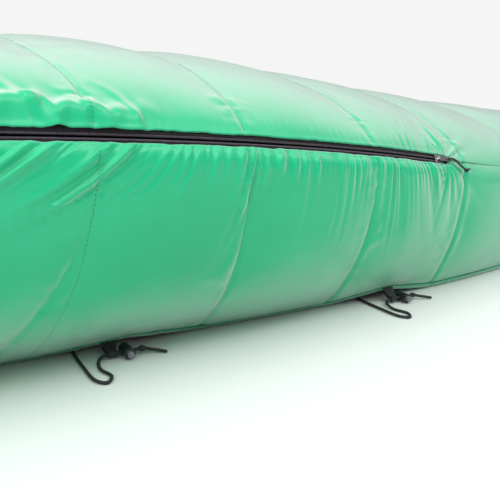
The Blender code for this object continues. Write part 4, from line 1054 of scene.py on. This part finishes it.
def build_draft_tube(materials):
    """The filled tube of lining cloth behind the zip."""
    x = np.arange(ZIP_HEAD_X + 0.003, ZIP_FOOT_X - 0.010, 0.004)
    route = zip_line(x) - ZIP_OUT * TUBE_DEPTH
    sides = 20
    turns = np.linspace(0.0, 2.0 * math.pi, sides, endpoint=False)
    pinch = ease(np.minimum(x - x[0], x[-1] - x), -0.002, 0.014)
    rings = []
    for i, spot in enumerate(route):
        ripple = 1.0 + 0.05 * noise2(np.full(sides, x[i] / 0.012), 2.0 * np.cos(turns) + 7.0, 521)
        radius = (TUBE_RADIUS - 0.0004) * (0.35 + 0.65 * pinch[i]) * ripple
        spoke = np.cos(turns)[:, None] * ZIP_UP + np.sin(turns)[:, None] * ZIP_OUT
        rings.append(spot + radius[:, None] * spoke)
    mesh = bar_mesh("draft_roll", np.array(rings))
    obj = piece("draft_roll", mesh, materials["lining"], replaces=["draft_tube"])


WEBBING = 0.0008
TAB_SINK, TAB_HALF_WIDTH, LOOP_HALF_WIDTH = 0.0010, 0.0075, 0.006


def ribbon_mesh(name, line, half_widths, thick, x):
    """Folded webbing: a flat band about x that follows a line of (y, z) points."""
    line = np.asarray(line, float)
    ahead = unit(np.gradient(line, axis=0))
    normal = np.stack([-ahead[:, 1], ahead[:, 0]], axis=1)
    columns = np.linspace(-1.0, 1.0, 17)
    edge = np.sqrt(1.0 - np.clip((abs(columns) - 0.86) / 0.14, 0.0, 1.0) ** 2 * 0.75)
    loops = []
    for spot, across, half in zip(line, normal, half_widths):
        upper = [(x + half * c, *(spot + across * 0.5 * thick * e)) for c, e in zip(columns, edge)]
        lower = [(x + half * c, *(spot - across * 0.5 * thick * e)) for c, e in zip(columns, edge)]
        loops.append(upper + lower[::-1])
    return bar_mesh(name, np.array(loops))


def arc(y, z, radius, turns):
    return [(y + radius * math.cos(t), z + radius * math.sin(t)) for t in np.radians(turns)]


def run(start, end, shares, power=1.0):
    """(y, z) points between two others: y even, z by a power of the share."""
    return [(start[0] + (end[0] - start[0]) * s, start[1] + (end[1] - start[1]) * s ** power) for s in shares]


def build_tabs(materials):
    """Webbing sewn to the near hem, folded round its cord, and a low loop at the far hem."""
    for number, x in enumerate(STRAP_X, start=1):
        lift = float(hem_lift(np.array([x]))[0])
        hem_y = near_binding_y(x) - TAB_SINK
        line_y = hem_y + TAB_SINK - LOCK_LINE_OFF
        shares = np.linspace(0.0, 1.0, 14)
        fold = arc(line_y, LOCK_LINE_Z, 0.00235, np.linspace(65.0, 295.0, 25))
        line = (run((hem_y, lift + 0.0052), fold[0], shares[:-1], 0.85) + fold
                + run(fold[-1], (hem_y, lift + 0.0018), shares[1:], 1.2))
        share = np.clip((hem_y - np.array(line)[:, 0]) / (hem_y - line_y), 0.0, 1.0)
        half = TAB_HALF_WIDTH - 0.0035 * share ** 0.8
        mesh = ribbon_mesh(f"cord_tab_{number}", line, half, WEBBING, x)
        piece(f"cord_tab_{number}", mesh, materials["webbing"],
              replaces=[f"strap_tab_{number}"])
        far, shares = HEM_HALF_WIDTH - 0.0083, np.linspace(0.0, 1.0, 8)
        bend = arc(HEM_HALF_WIDTH - 0.0224 + 0.0015, 0.0026, 0.0015, np.linspace(100.0, 260.0, 13))
        line = (run((far, 0.0041), (bend[0][0], 0.0041), shares[:-1]) + bend
                + run((bend[-1][0], 0.0011), (far, 0.0011), shares[1:]))
        mesh = ribbon_mesh(f"far_loop_{number}", line, np.full(len(line), LOOP_HALF_WIDTH), WEBBING, x)
        piece(f"far_loop_{number}", mesh, materials["webbing"],
              replaces=[f"strap_loop_far_{number}"])


def dress(name, material, bevel=0.0):
    """A CAD node that stays: its own look, and softened edges."""
    obj = nodes[name]
    obj.data.materials.clear()
    obj.data.materials.append(material)
    obj.data.shade_smooth()
    weld = obj.modifiers.new("Weld", "WELD")
    weld.merge_threshold = 0.00001
    if bevel:
        rounding = obj.modifiers.new("Edges", "BEVEL")
        rounding.width = bevel
        rounding.segments = 3
        rounding.limit_method = "ANGLE"
        rounding.angle_limit = math.radians(40.0)
        rounding.harden_normals = True


def dress_cad_nodes(materials):
    for side in ("upper", "lower"):
        dress(f"zip_tape_{side}", materials["tape"], 0.00015)
    for end in ("foot", "head"):
        dress(f"zip_stop_{end}", materials["metal"], 0.0004)
        dress(f"zip_slider_{end}", materials["metal"], 0.0003)
        dress(f"zip_pull_{end}", materials["metal"], 0.0003)
    for number in (1, 2):
        dress(f"cord_lock_body_{number}", materials["lock"], 0.0005)
        dress(f"cord_lock_plunger_{number}", materials["plunger"], 0.0004)
        dress(f"cord_lock_spring_{number}", materials["steel"])


# ---------------------------------------------------------------- studio

# Lights: size, power, place, and where they point.
LIGHTS = {
    "overhead": ((3.0, 1.2), 3.0, (0.2, -0.45, 1.9), (0.15, -0.2, 0.1)),
    "front_strip": ((3.2, 0.45), 15.0, (0.5, -1.35, 1.65), (0.2, -0.38, 0.18)),
    "head_side": ((0.9, 0.9), 28.0, (-1.6, -0.9, 1.5), (0.15, -0.2, 0.15)),
}
FLOOR_REACH, FLOOR_DROP = 30.0, 0.0002
# Painted light on the floor: its colour rises from near to far, making up for the lamps' light falling off
# with distance.
FLOOR_NEAR, FLOOR_FAR = (1.2, (0.76, 0.76, 0.76)), (4.0, (0.98, 0.98, 0.98))
SKY_LOW, SKY_HIGH = (0.12, (0.10, 0.10, 0.10)), (0.70, (1.14, 1.14, 1.14))
BACKDROP = (0.915, 0.915, 0.915)


def area_light(name, size, power, place, towards):
    data = bpy.data.lights.new(name, "AREA")
    data.shape = "RECTANGLE"
    data.size, data.size_y = size
    data.energy = power
    lamp = link(bpy.data.objects.new(name, data))
    lamp.location = place
    lamp.rotation_euler = (Vector(towards) - Vector(place)).to_track_quat("-Z", "Y").to_euler()


def make_studio():
    """A pale floor with painted light, darker near the quilt where the lamps light it most and paler further
    off where their light falls away, three soft lights, and a sky that brightens upwards.
    """
    floor = bpy.data.meshes.new("floor")
    corners = [(FLOOR_REACH * a, FLOOR_REACH * b, 0.0) for a, b in ((-1, -1), (1, -1), (1, 1), (-1, 1))]
    floor.from_pydata(corners, [], [(0, 1, 2, 3)])
    stage = link(bpy.data.objects.new("floor", floor))
    n = Nodes(bpy.data.materials.new("floor_pale"))
    spot = n.add("ShaderNodeTexCoord").outputs["Object"]
    away = n.add("ShaderNodeVectorMath", {"operation": "LENGTH"}, Vector=spot).outputs["Value"]
    share = n.add("ShaderNodeMapRange", Value=away, From_Min=FLOOR_NEAR[0], From_Max=FLOOR_FAR[0])
    # Painted light: the floor is paler the further it is from the middle, where less lamp light reaches it.
    pale = n.ramp(share.outputs["Result"], (0.0, FLOOR_NEAR[1]), (1.0, FLOOR_FAR[1]))
    floor.materials.append(n.finish(Base_Color=pale, Roughness=0.9, Specular_IOR_Level=0.0))
    stage.location.z = -FLOOR_DROP
    for name, settings in LIGHTS.items():
        area_light(name, *settings)
    n = Nodes(bpy.data.worlds.new("studio"), "Background")
    split = n.add("ShaderNodeSeparateXYZ", Vector=n.add("ShaderNodeTexCoord").outputs["Generated"])
    seen = n.add("ShaderNodeLightPath").outputs["Is Camera Ray"]
    sky = n.mix(seen, n.ramp(split.outputs["Z"], SKY_LOW, SKY_HIGH), BACKDROP)
    scene.world = n.finish(Color=sky, Strength=1.0)
    scene.view_settings.view_transform = "Standard"


# ---------------------------------------------------------------- making it all

make_camera()
materials = make_materials()
make_pad_cords(materials["elastic"])
make_pull_cord(materials["thin_cord"])

stations = lengthwise_stations()
side_nodes = ["shell_side"] + [f"down_side_{k:02d}" for k in range(1, SPLIT_CHAMBERS + 1)]
top_nodes = ["shell_top"] + [f"down_top_{k:02d}" for k in range(1, SPLIT_CHAMBERS + 1)]
top_nodes += ["down_foot_11", "down_foot_12"]
side_panel = build_shell_panel(True, stations, side_nodes, materials["shell"])
top_panel = build_shell_panel(False, stations, top_nodes, materials["shell"])
lining_stations = np.append(np.arange(HEAD_X + 0.0015, ARCH_FOOT_X - 0.002, 0.006), ARCH_FOOT_X - 0.0005)
build_lining_panel(True, lining_stations, ["lining_side"], materials["lining"])
build_lining_panel(False, lining_stations, ["lining_top"], materials["lining"])
build_foot_end(materials)
build_footbox_floor(materials)
hem_lines = build_hem_bindings(materials)
build_neck_bindings(materials)
build_coils(materials)
build_draft_tube(materials)
build_tabs(materials)
dress_cad_nodes(materials)
build_stitches("seam_stitches_side", seam_lines(side_panel, -1.0), materials["thread"])
build_stitches("seam_stitches_top", seam_lines(top_panel, 1.0), materials["thread"])
build_stitches("hem_stitches", hem_lines, materials["thread"])
make_studio()
